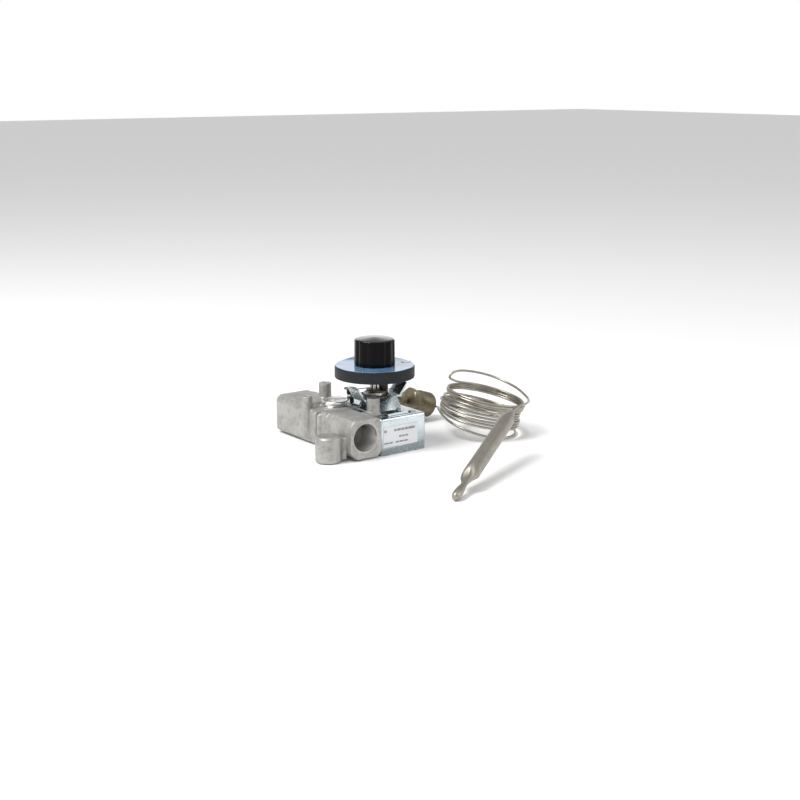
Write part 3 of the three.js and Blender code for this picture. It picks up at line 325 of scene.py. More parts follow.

# %% [markdown]
# The plastics are all black but not alike. The dial's rim is satin with pale specks in it. The
# knob's top is given an extra coat of gloss that its sides lack, a painted highlight for the
# overhead light that falls on the top, and the film that protects the dial is clear blue with
# ripples and trapped air.

# %% Plastics, rubber, paper and film
DIAL = Finish("dial_black", (0.018, 0.020, 0.023), 0.45, Specular_IOR_Level=0.12)
speck = DIAL.noise(0.5, 3.0).above(0.60, 0.16)
DIAL.feed("Base Color", DIAL.mixed(speck * 0.5, (0.085, 0.085, 0.09)))
DIAL.feed("Roughness", 0.34 + DIAL.noise(3.0) * 0.2)
DIAL.bump(DIAL.noise(0.4), 0.012)

# Painted highlight: above this height the knob gets an extra clear coat, so only its top shines
# under the light from above.
KNOB_PAINTED_HIGHLIGHT_FROM = 68.7
KNOB = Finish("knob_black", (0.004, 0.004, 0.004), 0.14, Specular_IOR_Level=0.08)
KNOB.feed("Roughness", 0.1 + KNOB.noise(5.0) * 0.12)
knob_height = KNOB.node("ShaderNodeSeparateXYZ", {}, {0: KNOB.place}, output="Z")
KNOB.feed("Coat Weight", knob_height.above(at(0, 0, KNOB_PAINTED_HIGHLIGHT_FROM).z, 0.6 * MM))
KNOB.bump(KNOB.noise(4.0), 0.03)

FILM = Finish("blue_film", (0.10, 0.23, 0.44), 0.1, Coat_Weight=1.0)
ripple = FILM.noise(12.0, 2.0)
FILM.feed("Base Color", FILM.mixed(ripple.above(0.5, 0.5), (0.20, 0.34, 0.54)))
FILM.feed("Roughness", 0.06 + ripple * 0.14)
FILM.bump(ripple, 0.12)

RUBBER = Finish("black_rubber", (0.02, 0.02, 0.02), 0.7)
RUBBER.bump(RUBBER.noise(0.6), 0.03)

GASKET = Finish("gasket_sheet", (0.15, 0.145, 0.125), 0.85)
GASKET.feed("Base Color", GASKET.mixed(GASKET.noise(0.7), (0.22, 0.21, 0.18)))
GASKET.bump(GASKET.noise(0.5), 0.05)

PAPER = Finish("white_label", (0.74, 0.75, 0.76), 0.45)
yellowed = PAPER.noise(4.0).above(0.6, 0.3) * 0.4
PAPER.feed("Base Color", PAPER.mixed(yellowed, (0.68, 0.70, 0.72)))
PAPER.bump(PAPER.noise(0.9), 0.01)

INK = Finish("label_ink", (0.20, 0.21, 0.23), 0.5)
INK.feed("Base Color", INK.mixed(INK.noise(0.5), (0.34, 0.35, 0.37)))
print("finishes:", len(bpy.data.materials))

# %% [markdown]
# A few helpers do the bench work. `piece` turns a bmesh drawn in millimetres into an object at the
# frame's origin and fastens it to its body. `lathe` spins a half outline round an upright axis, as
# a lathe would cut it. `plank` makes a box, and `soften` rounds the sharp edges of any of them.

# %% Bench helpers
SLOT_OF = {part["node"]: part["material_slot"] for part in frame["record"]["subparts"]}
BODY_OF = {n: body for body, names in frame["record"]["behaviour"]["bodies"].items() for n in names}
FINISH_OF = {
    "cast_aluminium": CAST,
    "zinc_plate": ZINC,
    "turned_aluminium": TURNED,
    "bright_steel": STEEL,
    "steel_screw": SCREW,
    "spring_steel": SPRING,
    "yellow_brass": BRASS,
    "dull_brass": DULL,
    "capillary_metal": CAPILLARY,
    "dial_black": DIAL,
    "knob_black": KNOB,
    "blue_film": FILM,
    "black_rubber": RUBBER,
    "gasket_sheet": GASKET,
    "white_label": PAPER,
}


def piece(name, shape, node, finish=None, replace=True, metres=False):
    """Makes the finished object for a CAD node, or for a detail that belongs with it."""
    if not metres:
        shape.transform(TO_FRAME)
    mesh = bpy.data.meshes.new(name)
    shape.to_mesh(mesh)
    shape.free()
    mesh.shade_smooth()
    made = bpy.data.objects.new(name, mesh)
    bpy.context.scene.collection.objects.link(made)
    mesh.materials.append((finish or FINISH_OF[SLOT_OF[node]]).material)
    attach(made, BODY_OF[node])
    if replace:
        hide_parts(node)
    return made


def facing_out(shape):
    bmesh.ops.remove_doubles(shape, verts=shape.verts[:], dist=0.001)
    bmesh.ops.recalc_face_normals(shape, faces=shape.faces[:])
    return shape


def lathe(profile, sides=96, x=0.0, y=0.0):
    """A round shape about an upright axis, from its half outline in (radius, height)."""
    shape = bmesh.new()
    corners = [shape.verts.new((radius, 0, height)) for radius, height in profile]
    edges = [shape.edges.new(pair) for pair in zip(corners, corners[1:])]
    bmesh.ops.spin(shape, geom=corners + edges, cent=(0, 0, 0), axis=(0, 0, 1), steps=sides,
                   angle=2 * math.pi, use_merge=True)
    facing_out(shape)
    shape.transform(Matrix.Translation((x, y, 0)))
    return shape


def plank(xs, ys, zs):
    shape = bmesh.new()
    size = Vector((xs[1] - xs[0], ys[1] - ys[0], zs[1] - zs[0]))
    middle = Vector((sum(xs) / 2, sum(ys) / 2, sum(zs) / 2))
    place = Matrix.Translation(middle) @ Matrix.Diagonal((*size, 1))
    bmesh.ops.create_cube(shape, size=1.0, matrix=place)
    return shape


def soften(shape, width, segments=3, sharper=30):
    """Rounds every edge that turns by more than the given angle."""
    least = math.radians(sharper)
    sharp = [e for e in shape.edges if e.is_manifold and e.calc_face_angle() > least]
    bmesh.ops.bevel(shape, geom=sharp, offset=width, segments=segments, profile=0.5, affect="EDGES",
                    material=-1, clamp_overlap=True)
    return shape


def joined(first, *others):
    """Adds the faces of other shapes to the first one."""
    for other in others:
        spare = bpy.data.meshes.new("spare")
        other.to_mesh(spare)
        other.free()
        first.from_mesh(spare)
        bpy.data.meshes.remove(spare)
    return first


def copy_of(node):
    """The CAD node's own shape in metres, with its loose triangles joined up."""
    shape = bmesh.new()
    shape.from_mesh(nodes[node].data)
    bmesh.ops.remove_doubles(shape, verts=shape.verts[:], dist=0.002 * MM)
    bmesh.ops.dissolve_limit(shape, verts=shape.verts[:], edges=shape.edges[:],
                             angle_limit=math.radians(0.5))
    return shape


print("bench helpers ready for", len(SLOT_OF), "pieces")

# %% [markdown]
# The free tube is one line from the housing to the bulb. It goes straight through the fitting,
# turns back on itself, is wound into a leaning coil of nearly eleven turns, rises in one loose loop
# and comes down to the bulb. The few places along the loose ends are joined by a smooth curve that
# passes through all of them, and the coil is worked out turn by turn.

# %% Where the tube runs
GLAND_START = Vector((71, 62, 17))
GLAND_TILT = math.radians(17.9)
GLAND_WAY = Vector((math.cos(GLAND_TILT), 0, -math.sin(GLAND_TILT)))
BULB_TIP = Vector((-10.5, -99.9, 0.85))
BULB_END = Vector((79.5, -46, 27.5))
BULB_WAY = (BULB_TIP - BULB_END).normalized()


def along_gland(distance):
    return GLAND_START + GLAND_WAY * distance


LEAD = [
    Vector(TUBE_EXIT),
    Vector((56.9, 55.7, 17.3)),
    Vector((62.4, 58.4, 18.2)),
    along_gland(-5.5) + Vector((0, -1.4, -0.4)),
    along_gland(-1.5),
    along_gland(0.5),
    along_gland(14.15),
    along_gland(27.8),
    along_gland(29.1),
    Vector((101, 61.6, 7)),
    Vector((102.2, 59.8, 6.9)),
    Vector((101.4, 56.5, 7.2)),
    Vector((96.5, 48.5, 9)),
    Vector((87.5, 38.5, 11.5)),
    Vector((82.5, 31.5, 13)),
]
TAIL = [Vector(place) for place in (
    (99, 30, 30), (93.5, 30.2, 32), (90, 30, 34.5), (91.8, 29.6, 37), (97.5, 29.5, 38),
    (103.5, 27, 37.5), (110.5, 22.5, 36), (116, 16, 34), (119.5, 7.5, 31.5), (119.4, -3.5, 29.5),
    (115.5, -15.5, 28), (110.5, -25.5, 27.2), (104, -33, 27.5), (96.5, -38.5, 28.2),
    (88.5, -42.4, 28.9), (82, -44.8, 28.3),
)]

# %% [markdown]
# The coil was pushed over sideways, so its turns lean and its middle wanders. Each row below is a
# count of turns from the start, then the coil's middle, its radius, its height, how much higher its
# left side is than its middle, and how much higher its far side is.

# %% Wind the coil
COIL_RIGHT = Vector((0.8, -0.6, 0))
COIL_FAR = Vector((0.6, 0.8, 0))
COIL_ROWS = [
    (0.0, 100.5, 10.0, 26.0, 6.5, 7.0, 2.5),
    (0.3, 100.5, 10.0, 25.0, 5.6, 6.6, 2.5),
    (0.55, 99.5, 9.8, 22.5, 6.2, 6.0, 1.5),
    (1.0, 99.0, 9.0, 25.5, 9.8, 5.6, 1.0),
    (6.6, 99.5, 9.0, 25.5, 18.0, 5.6, -2.3),
    (7.5, 102.0, 7.0, 25.0, 21.2, 5.6, 0.0),
    (10.85, 102.5, 6.7, 25.0, 25.6, 5.6, 0.0),
]
POINTS_PER_TURN = 24
COIL_TURNS = COIL_ROWS[-1][0]
TUBE_RADIUS = 0.8


def coil_row(turn):
    """The coil's sizes at some number of turns, between the two rows on either side."""
    for before, after in zip(COIL_ROWS, COIL_ROWS[1:]):
        if turn <= after[0]:
            share = (turn - before[0]) / (after[0] - before[0])
            return [a + (b - a) * share for a, b in zip(before[1:], after[1:])]
    return list(COIL_ROWS[-1][1:])


def coil_point(turn):
    x, y, radius, height, lean, rise = coil_row(turn)
    angle = math.pi + 2 * math.pi * turn
    radius += 0.5 * math.sin(2.1 * turn + 1)
    flat = Vector((x, y, 0)) + radius * (math.cos(angle) * COIL_RIGHT + math.sin(angle) * COIL_FAR)
    lowest = FLOOR_Z + TUBE_RADIUS + 0.05
    z = height - lean * math.cos(angle) + rise * math.sin(angle) - lowest
    return flat + Vector((0, 0, lowest + (z + math.sqrt(z * z + 1)) / 2))


COIL = [coil_point(i / POINTS_PER_TURN) for i in range(1, round(COIL_TURNS * POINTS_PER_TURN) + 1)]

# %% [markdown]
# The places are joined by one smooth curve, and the curve is measured as it is drawn, because the
# tube's real length is one of its facts.

# %% Smooth the line and measure it
def smooth_line(places, step=1.4):
    """Places about a step apart on a curve through all the given ones (centripetal Catmull-Rom)."""
    ends = [places[0] * 2 - places[1], *places, places[-1] * 2 - places[-2]]
    line = []
    for p0, p1, p2, p3 in zip(ends, ends[1:], ends[2:], ends[3:]):
        gaps = [max((b - a).length, 1e-6) ** 0.5 for a, b in ((p0, p1), (p1, p2), (p2, p3))]
        into = (p1 - p0) / gaps[0] - (p2 - p0) / (gaps[0] + gaps[1]) + (p2 - p1) / gaps[1]
        out = (p2 - p1) / gaps[1] - (p3 - p1) / (gaps[1] + gaps[2]) + (p3 - p2) / gaps[2]
        into, out = into * gaps[1], out * gaps[1]
        count = max(1, round((p2 - p1).length / step))
        for i in range(count):
            t = i / count
            line.append(
                p1 * (2 * t**3 - 3 * t**2 + 1) + into * (t**3 - 2 * t**2 + t)
                + p2 * (3 * t**2 - 2 * t**3) + out * (t**3 - t**2)
            )
    return line + [places[-1]]


INSIDE_BULB = 60.0  # the tube runs on inside the bulb
route = smooth_line(LEAD + COIL + TAIL + [BULB_END, BULB_END + BULB_WAY * 8])
route += [BULB_END + BULB_WAY * d for d in (20.0, 40.0, INSIDE_BULB)]
route_length = sum((b - a).length for a, b in zip(route, route[1:])) * MM
print("tube:", len(route), "places,", round(route_length, 3), "m")

# %% [markdown]
# A curve object with a round bevel is the natural way to make a tube: its line stays the line that
# was measured above, and one number sets its thickness.

# %% The free tube
tube_data = bpy.data.curves.new("capillary", "CURVE")
tube_data.dimensions = "3D"
tube_data.bevel_depth = TUBE_RADIUS * MM
tube_data.bevel_resolution = 3
tube_data.use_fill_caps = True
spline = tube_data.splines.new("POLY")
spline.points.add(len(route) - 1)
for point, place in zip(spline.points, route):
    point.co = (*(TO_FRAME @ place), 1.0)
tube_data.materials.append(CAPILLARY.material)
capillary = bpy.data.objects.new("capillary", tube_data)
bpy.context.scene.collection.objects.link(capillary)
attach(capillary, "valve_body")
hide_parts("capillary_lead", "capillary_coil", "capillary_tail")

# %% [markdown]
# The bulb is a drawn cup. One end is spun down to the thin tube, and the other was squeezed flat in
# pliers and then welded into a bead. So it starts as a lathe shape, and the squeeze is made by
# pressing its points in from two sides, more and more towards the tip.


# %% The sensing bulb
def soft_step(value, low, high):
    share = min(max((value - low) / (high - low), 0.0), 1.0)
    return share * share * (3 - 2 * share)


def make_bulb():
    length = (BULB_TIP - BULB_END).length
    radius = 4.76  # half of 3/8 inch
    neck = 1.75
    outline = [(0, 0), (1.2, 0.25), (2.1, 1.1), (2.6, 2.6), (2.7, 5.0), (2.6, 8.0), (2.3, 11.0)]
    outline += [(1.9, 14.0)]
    outline += [(neck + (radius - neck) * soft_step(s, 16, 30), s) for s in range(16, 31)]
    outline += [(radius, s) for s in range(32, int(length - 18), 2)]
    shoulder = [(radius - 0.1, 17), (radius - 0.45, 13), (radius - 1.1, 9), (2.8, 5.6)]
    shoulder += [(1.9, 2.8), (1.3, 0.9), (0.9, 0.2), (0, 0.2)]
    outline += [(r, length - back) for r, back in shoulder]
    bulb = lathe(outline, 64)
    for vert in bulb.verts:
        pinch = math.exp(-(((vert.co.z - 21.5) / 6.0) ** 2))
        vert.co.x *= 1 - 0.42 * pinch
        vert.co.y *= 1 + 0.5 * pinch
        hollow = math.exp(-(((vert.co.z - 24.5) / 5.0) ** 2)) * max(0.0, 1 - abs(vert.co.y) / 3.6)
        vert.co.x *= 1 - 0.5 * hollow
    return bulb


def turned_to(way, start, spin=0.0):
    """Stands an upright shape along a direction from a place, spun about its own axis."""
    turn = Vector((0, 0, 1)).rotation_difference(way).to_matrix().to_4x4()
    return Matrix.Translation(start) @ turn @ Matrix.Rotation(spin, 4, "Z")


bulb_shape = make_bulb()
bulb_shape.transform(turned_to(-BULB_WAY, BULB_TIP, math.radians(20)))
sensing_bulb = piece("bulb_drawn", bulb_shape, "sensing_bulb", BULB)
print("bulb:", len(sensing_bulb.data.polygons), "faces")

# %% [markdown]
# The fitting is a hexagon with a threaded barrel. The thread is a real helix: one V-shaped tooth is
# spun round the axis and moved along it a little at each step, which the spin operator does by
# itself. The hexagon's corners are turned off by cutting it with slanted planes.


# %% The gland fitting
CHAMFER_CUTS = 24


def hexagon(across, low, high):
    """An upright hexagon bar whose corners are turned off at both ends."""
    shape = bmesh.new()
    bmesh.ops.create_circle(shape, cap_ends=True, segments=6, radius=across / math.sqrt(3))
    made = bmesh.ops.extrude_face_region(shape, geom=shape.faces[:])
    tops = [v for v in made["geom"] if isinstance(v, bmesh.types.BMVert)]
    bmesh.ops.translate(shape, verts=tops, vec=(0, 0, high - low))
    bmesh.ops.translate(shape, verts=shape.verts[:], vec=(0, 0, low))
    facing_out(shape)
    for i in range(CHAMFER_CUTS):
        angle = 2 * math.pi * i / CHAMFER_CUTS
        out = Vector((math.cos(angle), math.sin(angle), 0))
        for z, side in ((low, -1), (high, 1)):
            bmesh.ops.bisect_plane(
                shape, geom=shape.verts[:] + shape.edges[:] + shape.faces[:], dist=0.0005,
                plane_co=out * across / 2 + Vector((0, 0, z)),
                plane_no=out + Vector((0, 0, side * 1.6)), clear_outer=True,
            )
            rims = [e for e in shape.edges if e.is_boundary]
            if rims:
                bmesh.ops.holes_fill(shape, edges=rims)
    return facing_out(shape)


def helix_thread(radius, depth, pitch, low, high, sides=48, inward=False):
    """A strip of V teeth wound round an upright axis; the teeth point in for an inside thread."""
    shape = bmesh.new()
    tip = radius - depth if inward else radius
    root = radius if inward else radius - depth
    turns = int((high - low) / pitch)
    heights = ((root, 0.0), (root, 0.12), (tip, 0.46), (tip, 0.58), (root, 0.92), (root, 1.0))
    corners = [shape.verts.new((r, 0, low + h * pitch)) for r, h in heights]
    edges = [shape.edges.new(pair) for pair in zip(corners, corners[1:])]
    bmesh.ops.spin(shape, geom=corners + edges, cent=(0, 0, 0), axis=(0, 0, 1), steps=sides * turns,
                   angle=2 * math.pi * turns, dvec=(0, 0, pitch / sides))
    bmesh.ops.remove_doubles(shape, verts=shape.verts[:], dist=0.01)
    return shape


gland_hex = soften(hexagon(15.9, 8.6, 14.2), 0.15, 2)
barrel = lathe([
    (1.15, 13.6), (7.5, 13.6), (7.5, 15.6), (8.0, 16.2), (8.4, 16.8), (8.45, 24.6), (8.3, 26.6),
    (7.6, 28.1), (7.2, 28.3), (1.4, 28.3), (1.15, 28.0), (1.15, 13.6),
], 96)
gland_thread = helix_thread(8.5, 0.35, 1.4, 16.6, 26.8)
gland_shape = joined(gland_hex, barrel, gland_thread)
gland_shape.transform(turned_to(GLAND_WAY, GLAND_START, math.radians(14)))
gland = piece("gland_fitting", gland_shape, "gland_body")

follower_shape = joined(
    soften(hexagon(7.0, 0.0, 4.4), 0.12, 2),
    lathe([(1.15, 4.2), (2.4, 4.2), (2.6, 4.5), (2.6, 11), (1.15, 11), (1.15, 4.2)], 64),
)
follower_shape.transform(turned_to(GLAND_WAY, GLAND_START, math.radians(5)))
follower = piece("gland_sleeve", follower_shape, "gland_follower")
print("fitting:", len(gland.data.polygons) + len(follower.data.polygons), "faces")

# %% [markdown]

# %% [markdown]
# Die castings have no sharp corners, because the metal would not fill them and the die would wear.
# The measured casting is copied, joined with the small ribs and pads that a die leaves, rebuilt as
# one skin of tiny faces, and smoothed, so that every edge and every inside corner gets its radius.

# %% The two castings
SKIN_CELL = 0.42


def cast_piece(name, node, *details):
    shape = copy_of(node)
    bmesh.ops.triangulate(shape, faces=shape.faces[:])
    for detail in details:
        detail.transform(TO_FRAME)
        joined(shape, detail)
    made = piece(name, shape, node, metres=True)
    skin = made.modifiers.new("one skin", "REMESH")
    skin.mode = "VOXEL"
    skin.voxel_size = SKIN_CELL * MM
    skin.use_smooth_shade = True
    relax = made.modifiers.new("cast radii", "SMOOTH")
    relax.factor = 0.5
    relax.iterations = 5
    return made


def upright_rib(x, y, radius, low, high):
    outline = [(0, low), (radius, low), (radius, high - 0.5), (radius - 0.5, high), (0, high)]
    return lathe(outline, 32, x, y)


outlet_details = [
    upright_rib(-11.3, 34.6, 1.6, 3.2, 22.6),
    soften(plank((-10.6, 9.5), (28.4, 33.5), (5, 25.0)), 1.0),
    soften(plank((7.5, 17.4), (7.9, 16.1), (23.2, 25.2)), 0.5),
]
cast_piece("outlet_body", "outlet_casting", *outlet_details)

inlet_details = [
    upright_rib(-11.0, 39.9, 1.5, 3.2, 22.2),
    soften(plank((-7.0, 8.0), (42.5, 52.0), (4, 21.2)), 0.8),
]
cast_piece("inlet_body", "inlet_casting", *inlet_details)
print("castings:", len(outlet_details) + len(inlet_details), "cast details")

# %% [markdown]
# The pipe ports carry an inside taper thread of 18 turns to the inch. The same spun tooth is used,
# then every point is drawn in towards the axis a little more the deeper it lies, which is what makes
# the thread a taper. A turned lip leads the pipe in. Cut metal is smoother than the cast skin.

# %% The threads in the ports
THREAD_PITCH = 25.4 / 18
PORT_RADIUS = 8.8
PORT_HEIGHT = 13
THREAD_TAPER = 0.07  # how much smaller the radius is for each millimetre of depth

CUT = Finish("cut_aluminium", (0.50, 0.49, 0.47), 0.35, 1.0)
CUT.feed("Roughness", 0.3 + CUT.noise(1.5) * 0.2)
CUT.bump(CUT.noise(0.5), 0.02)


def port_thread(name, node, x, face, inward):
    thread = helix_thread(PORT_RADIUS, 0.85, THREAD_PITCH, 0.6, 13.4, 72, inward=True)
    for vert in thread.verts:
        shrink = 1 - THREAD_TAPER * vert.co.z / PORT_RADIUS
        vert.co.x *= shrink
        vert.co.y *= shrink
    lip = lathe([(9.6, -0.02), (9.3, -0.05), (8.75, 0.35), (8.6, 0.7)], 96)
    floor = lathe([(8.3, 13.2), (7.35, 13.9), (7.3, 19.8), (0.0, 20.2)], 72)
    shape = joined(thread, lip, floor)
    shape.transform(turned_to(Vector((0, inward, 0)), Vector((x, face, PORT_HEIGHT))))
    return piece(name, shape, node, CUT, replace=False)


outlet_thread = port_thread("outlet_thread", "outlet_casting", 0, 0, 1)
port_thread("inlet_thread", "inlet_casting", 8.6, 93.7, -1)
print("threads:", len(outlet_thread.data.polygons), "faces each")

# %% [markdown]
# The housing is drawn from one sheet, so it has round corners, a soft top edge and a small return
# at its foot. It is built as an outline, pulled up, rounded, and given its 1 mm wall by a Solidify
# modifier. Its front has a faint rolled bead just under the top edge.


# %% The sheet steel housing
def walled_outline(points, low, high):
    """An upright wall with a lid from an outline listed anticlockwise."""
    shape = bmesh.new()
    face = shape.faces.new([shape.verts.new((x, y, low)) for x, y in points])
    made = bmesh.ops.extrude_face_region(shape, geom=[face])
    tops = [v for v in made["geom"] if isinstance(v, bmesh.types.BMVert)]
    bmesh.ops.translate(shape, verts=tops, vec=(0, 0, high - low))
    return facing_out(shape)


HOUSING_TOP = 22.6
HOUSING_NOSE, HOUSING_LEFT, HOUSING_RIGHT = 12.3, 18.7, 47.4
HOUSING_FRONT, HOUSING_NOSE_BACK, HOUSING_BACK = 1, 7.5, 60
housing_outline = [
    (HOUSING_NOSE, HOUSING_FRONT), (HOUSING_RIGHT, HOUSING_FRONT), (HOUSING_RIGHT, HOUSING_BACK),
    (HOUSING_LEFT, HOUSING_BACK), (HOUSING_LEFT, HOUSING_NOSE_BACK),
    (HOUSING_NOSE, HOUSING_NOSE_BACK),
]
housing_shape = walled_outline(housing_outline, FLOOR_Z - 4, HOUSING_TOP)
soften(housing_shape, 1.6, 5, 40)
bmesh.ops.bisect_plane(
    housing_shape, geom=housing_shape.verts[:] + housing_shape.edges[:] + housing_shape.faces[:],
    dist=0.0005, plane_co=(0, 0, FLOOR_Z), plane_no=(0, 0, -1), clear_outer=True,
)
housing = piece("housing_shell", housing_shape, "housing")
wall = housing.modifiers.new("sheet", "SOLIDIFY")
wall.thickness = 1.0 * MM
wall.offset = -1

dome = lathe([(3.9, 22.62), (3.5, 22.9), (2.6, 23.3), (1.3, 23.48), (0, 23.52)], 48, 40.7, 8)
seam = soften(plank((19.5, 46.4), (0.86, 1.4), (20.0, 20.5)), 0.12, 2)
piece("housing_marks", joined(dome, seam), "housing", replace=False)
print("housing:", len(housing.data.polygons), "faces")

# %% [markdown]
# The label is a thin satin sticker. Its print is left as plain grey bars of different lengths, so
# that it reads as a label without saying anything.

# %% The label and its bars
label_shape = soften(plank((13.9, 40.6), (0.72, 0.9), (4, 17.3)), 0.06, 2)
piece("label_sheet", label_shape, "label")
BAR_ROWS = [
    # the row's height, how tall its bars are, then each bar's start and end
    (13.6, 1.5, (
        (14.6, 16.4), (22.2, 24.2), (24.6, 27.4), (27.8, 30.4), (30.8, 33.0), (33.4, 38.4),
    )),
    (9.4, 1.1, ((26.0, 28.2), (28.6, 30.6), (31.0, 33.2))),
    (6.1, 1.0, ((14.6, 18.4), (18.8, 21.2), (23.4, 26.2), (26.6, 29.8), (30.2, 33.0))),
]
bars = bmesh.new()
for height, tall, spans in BAR_ROWS:
    for start, end in spans:
        joined(bars, plank((start, end), (0.70, 0.74), (height, height + tall)))
piece("label_bars", bars, "label", INK, replace=False)
print("label bars:", sum(len(row[2]) for row in BAR_ROWS))

# %% [markdown]
# Small sheet and turned parts already have the right shape in the frame. Each is copied and its
# sharp edges are broken with a narrow bevel, which is what catches the light on a real part.


# %% Pieces that only need their edges broken
def broken_edges(node, width):
    made = piece(node + "_finished", copy_of(node), node, metres=True)
    edge = made.modifiers.new("broken edges", "BEVEL")
    edge.width = width * MM
    edge.segments = 2
    edge.limit_method = "ANGLE"
    edge.angle_limit = math.radians(32)
    made.data.set_sharp_from_angle(angle=math.radians(50))
    return made


EDGE_WIDTHS = (
    ("bracket", 0.35), ("stop_washer", 0.15), ("leaf_spring", 0.1), ("bush_nut", 0.2),
    ("stop_collar", 0.2), ("shaft_clip", 0.1), ("body_screw_upper", 0.15),
    ("body_screw_lower", 0.15), ("bracket_screw_front", 0.2), ("bracket_screw_rear", 0.2),
    ("housing_base", 0.15), ("body_gasket", 0.1), ("carrier", 0.2), ("snap_lever", 0.15),
)
for node, width in EDGE_WIDTHS:
    broken_edges(node, width)
print("edges broken on", len(EDGE_WIDTHS), "pieces")

# %% [markdown]
# The plug that closes the valve chamber is turned from bar: a chamfered rim, a shallow dish and fine
# tool rings. It sits on a flat that the cutter left round it on the casting.

# %% The access plug and its seat
plug = piece("plug_turned", lathe([
    (0, 19.1), (6.5, 19.1), (7.1, 19.7), (7.1, 23.7), (8.9, 23.7), (9.15, 23.95), (9.15, 26.5),
    (8.95, 26.9), (8.5, 27.08), (7.3, 27.08), (7.0, 26.95), (6.7, 26.62), (6.2, 26.5), (1.1, 26.5),
    (0.7, 26.3), (0, 26.2),
], 128, *PLUG_AXIS), "access_plug")
seat_ring = lathe([(9.2, 23.62), (9.9, 23.62), (10.05, 23.5), (10.1, 23.3)], 128, *PLUG_AXIS)
piece("plug_seat_face", seat_ring, "inlet_casting", TURNED, replace=False)
print("plug:", len(plug.data.polygons), "faces")

# %% [markdown]
# The shaft is ground steel with a thinner end below its bush. The bush is threaded into the bridge,
# and the tube's ferrule is a stepped sleeve that is brazed into the housing's side.

# %% The shaft, its bush and the tube's ferrule
shaft = piece("shaft_ground", lathe([
    (0, 11), (2.0, 11), (2.4, 11.4), (2.4, 19), (2.9, 19), (3.175, 19.3), (3.175, 62.6),
    (2.8, 63.1), (0, 63.1),
], 64, *DIAL_AXIS), "dial_shaft")
piece("bush_turned", lathe([
    (3.3, 28.85), (5.4, 28.85), (5.6, 29.05), (5.6, 30.2), (5.4, 30.4), (4.75, 30.4), (4.75, 35.0),
    (4.4, 35.4), (3.5, 35.4), (3.3, 35.2), (3.3, 28.85),
], 64, *DIAL_AXIS), "shaft_bush")
ferrule_shape = lathe([
    (0, -1.6), (2.4, -1.6), (2.4, 0.1), (3.3, 0.1), (3.5, 0.3), (3.5, 1.2), (3.3, 1.45), (2.4, 1.5),
    (2.35, 3.4), (2.05, 5.5), (1.7, 5.95), (1.2, 6.0), (0.9, 5.6), (0.85, 4.0), (0, 4.0),
], 64)
ferrule_shape.transform(turned_to(Vector((1, 0, 0)), Vector((HOUSING_RIGHT, *TUBE_EXIT[1:]))))
piece("ferrule_brazed", ferrule_shape, "capillary_ferrule")
print("shaft:", len(shaft.data.polygons), "faces")

# %% [markdown]
# The dial is moulded plastic, turned true on its rim. The blue film on it is a loose disc: it
# follows the top, stands a little proud of the rim in places and has a small pale tab to pull.

# %% The dial and its film
dial = piece("dial_moulded", lathe([
    (3.2, DIAL_UNDERSIDE), (6.5, DIAL_UNDERSIDE), (7.0, 45.1), (22.6, 45.1),
    (23.1, DIAL_UNDERSIDE), (24.9, DIAL_UNDERSIDE), (25.25, 44.85), (25.4, 45.2), (25.4, 51.4),
    (25.28, 51.75), (24.95, 51.95), (24.6, 52.0), (3.2, 52.0), (3.2, DIAL_UNDERSIDE),
], 160, *DIAL_AXIS), "dial")

FILM_UNDER, FILM_TOP = 52.1, 52.28
FILM_HOLE = 3.3
film_rings = [FILM_HOLE + 1.35 * i for i in range(16)] + [24.6, 24.9]
film_outline = [(r, FILM_UNDER) for r in film_rings] + [(r, FILM_TOP) for r in reversed(film_rings)]
film_shape = lathe(film_outline + [(FILM_HOLE, FILM_UNDER)], 160)
FILM_LIFTS = math.radians(62)  # the way from the axis to where the film has come loose
for vert in film_shape.verts:
    out = max(0.0, (math.hypot(vert.co.x, vert.co.y) - 13.5) / 11.4)
    angle = math.atan2(vert.co.y, vert.co.x)
    loose = max(0.0, math.cos(angle - FILM_LIFTS)) ** 4
    vert.co.z += out * out * (1.3 * loose + 0.07 * (1 + math.sin(9 * angle)))
film_shape.transform(Matrix.Translation((*DIAL_AXIS, 0)))
piece("film_disc", film_shape, "dial_film")

TAB_LENGTH = 6.5
tab_shape = plank((0, TAB_LENGTH), (-1.7, 1.7), (0, 0.16))
bmesh.ops.subdivide_edges(tab_shape, edges=tab_shape.edges[:], cuts=7, use_grid_fill=True)
for vert in tab_shape.verts:
    reach = vert.co.x / TAB_LENGTH
    vert.co.z += 0.9 * reach * reach - 0.5 * reach
    vert.co.y *= 1 - 0.35 * reach * reach
tab_turn = Matrix.Rotation(math.radians(-14), 4, "Z") @ Matrix.Translation((18.6, 0, 0))
tab_shape.transform(Matrix.Translation((*DIAL_AXIS, 52.36)) @ tab_turn)
piece("film_tab", tab_shape, "dial_film", PAPER, replace=False)
print("dial:", len(dial.data.polygons), "faces")

# %% [markdown]
# The knob is moulded with twelve shallow flutes. It is spun as a plain round knob, then every point
# on its side is drawn in by a smooth wave of its angle. The top stays a low plain cone.


# %% The fluted knob
FLUTES = 12
FLUTE_DEPTH = 0.62
SIDE_FROM = 11.0  # points nearer the axis than this belong to the top


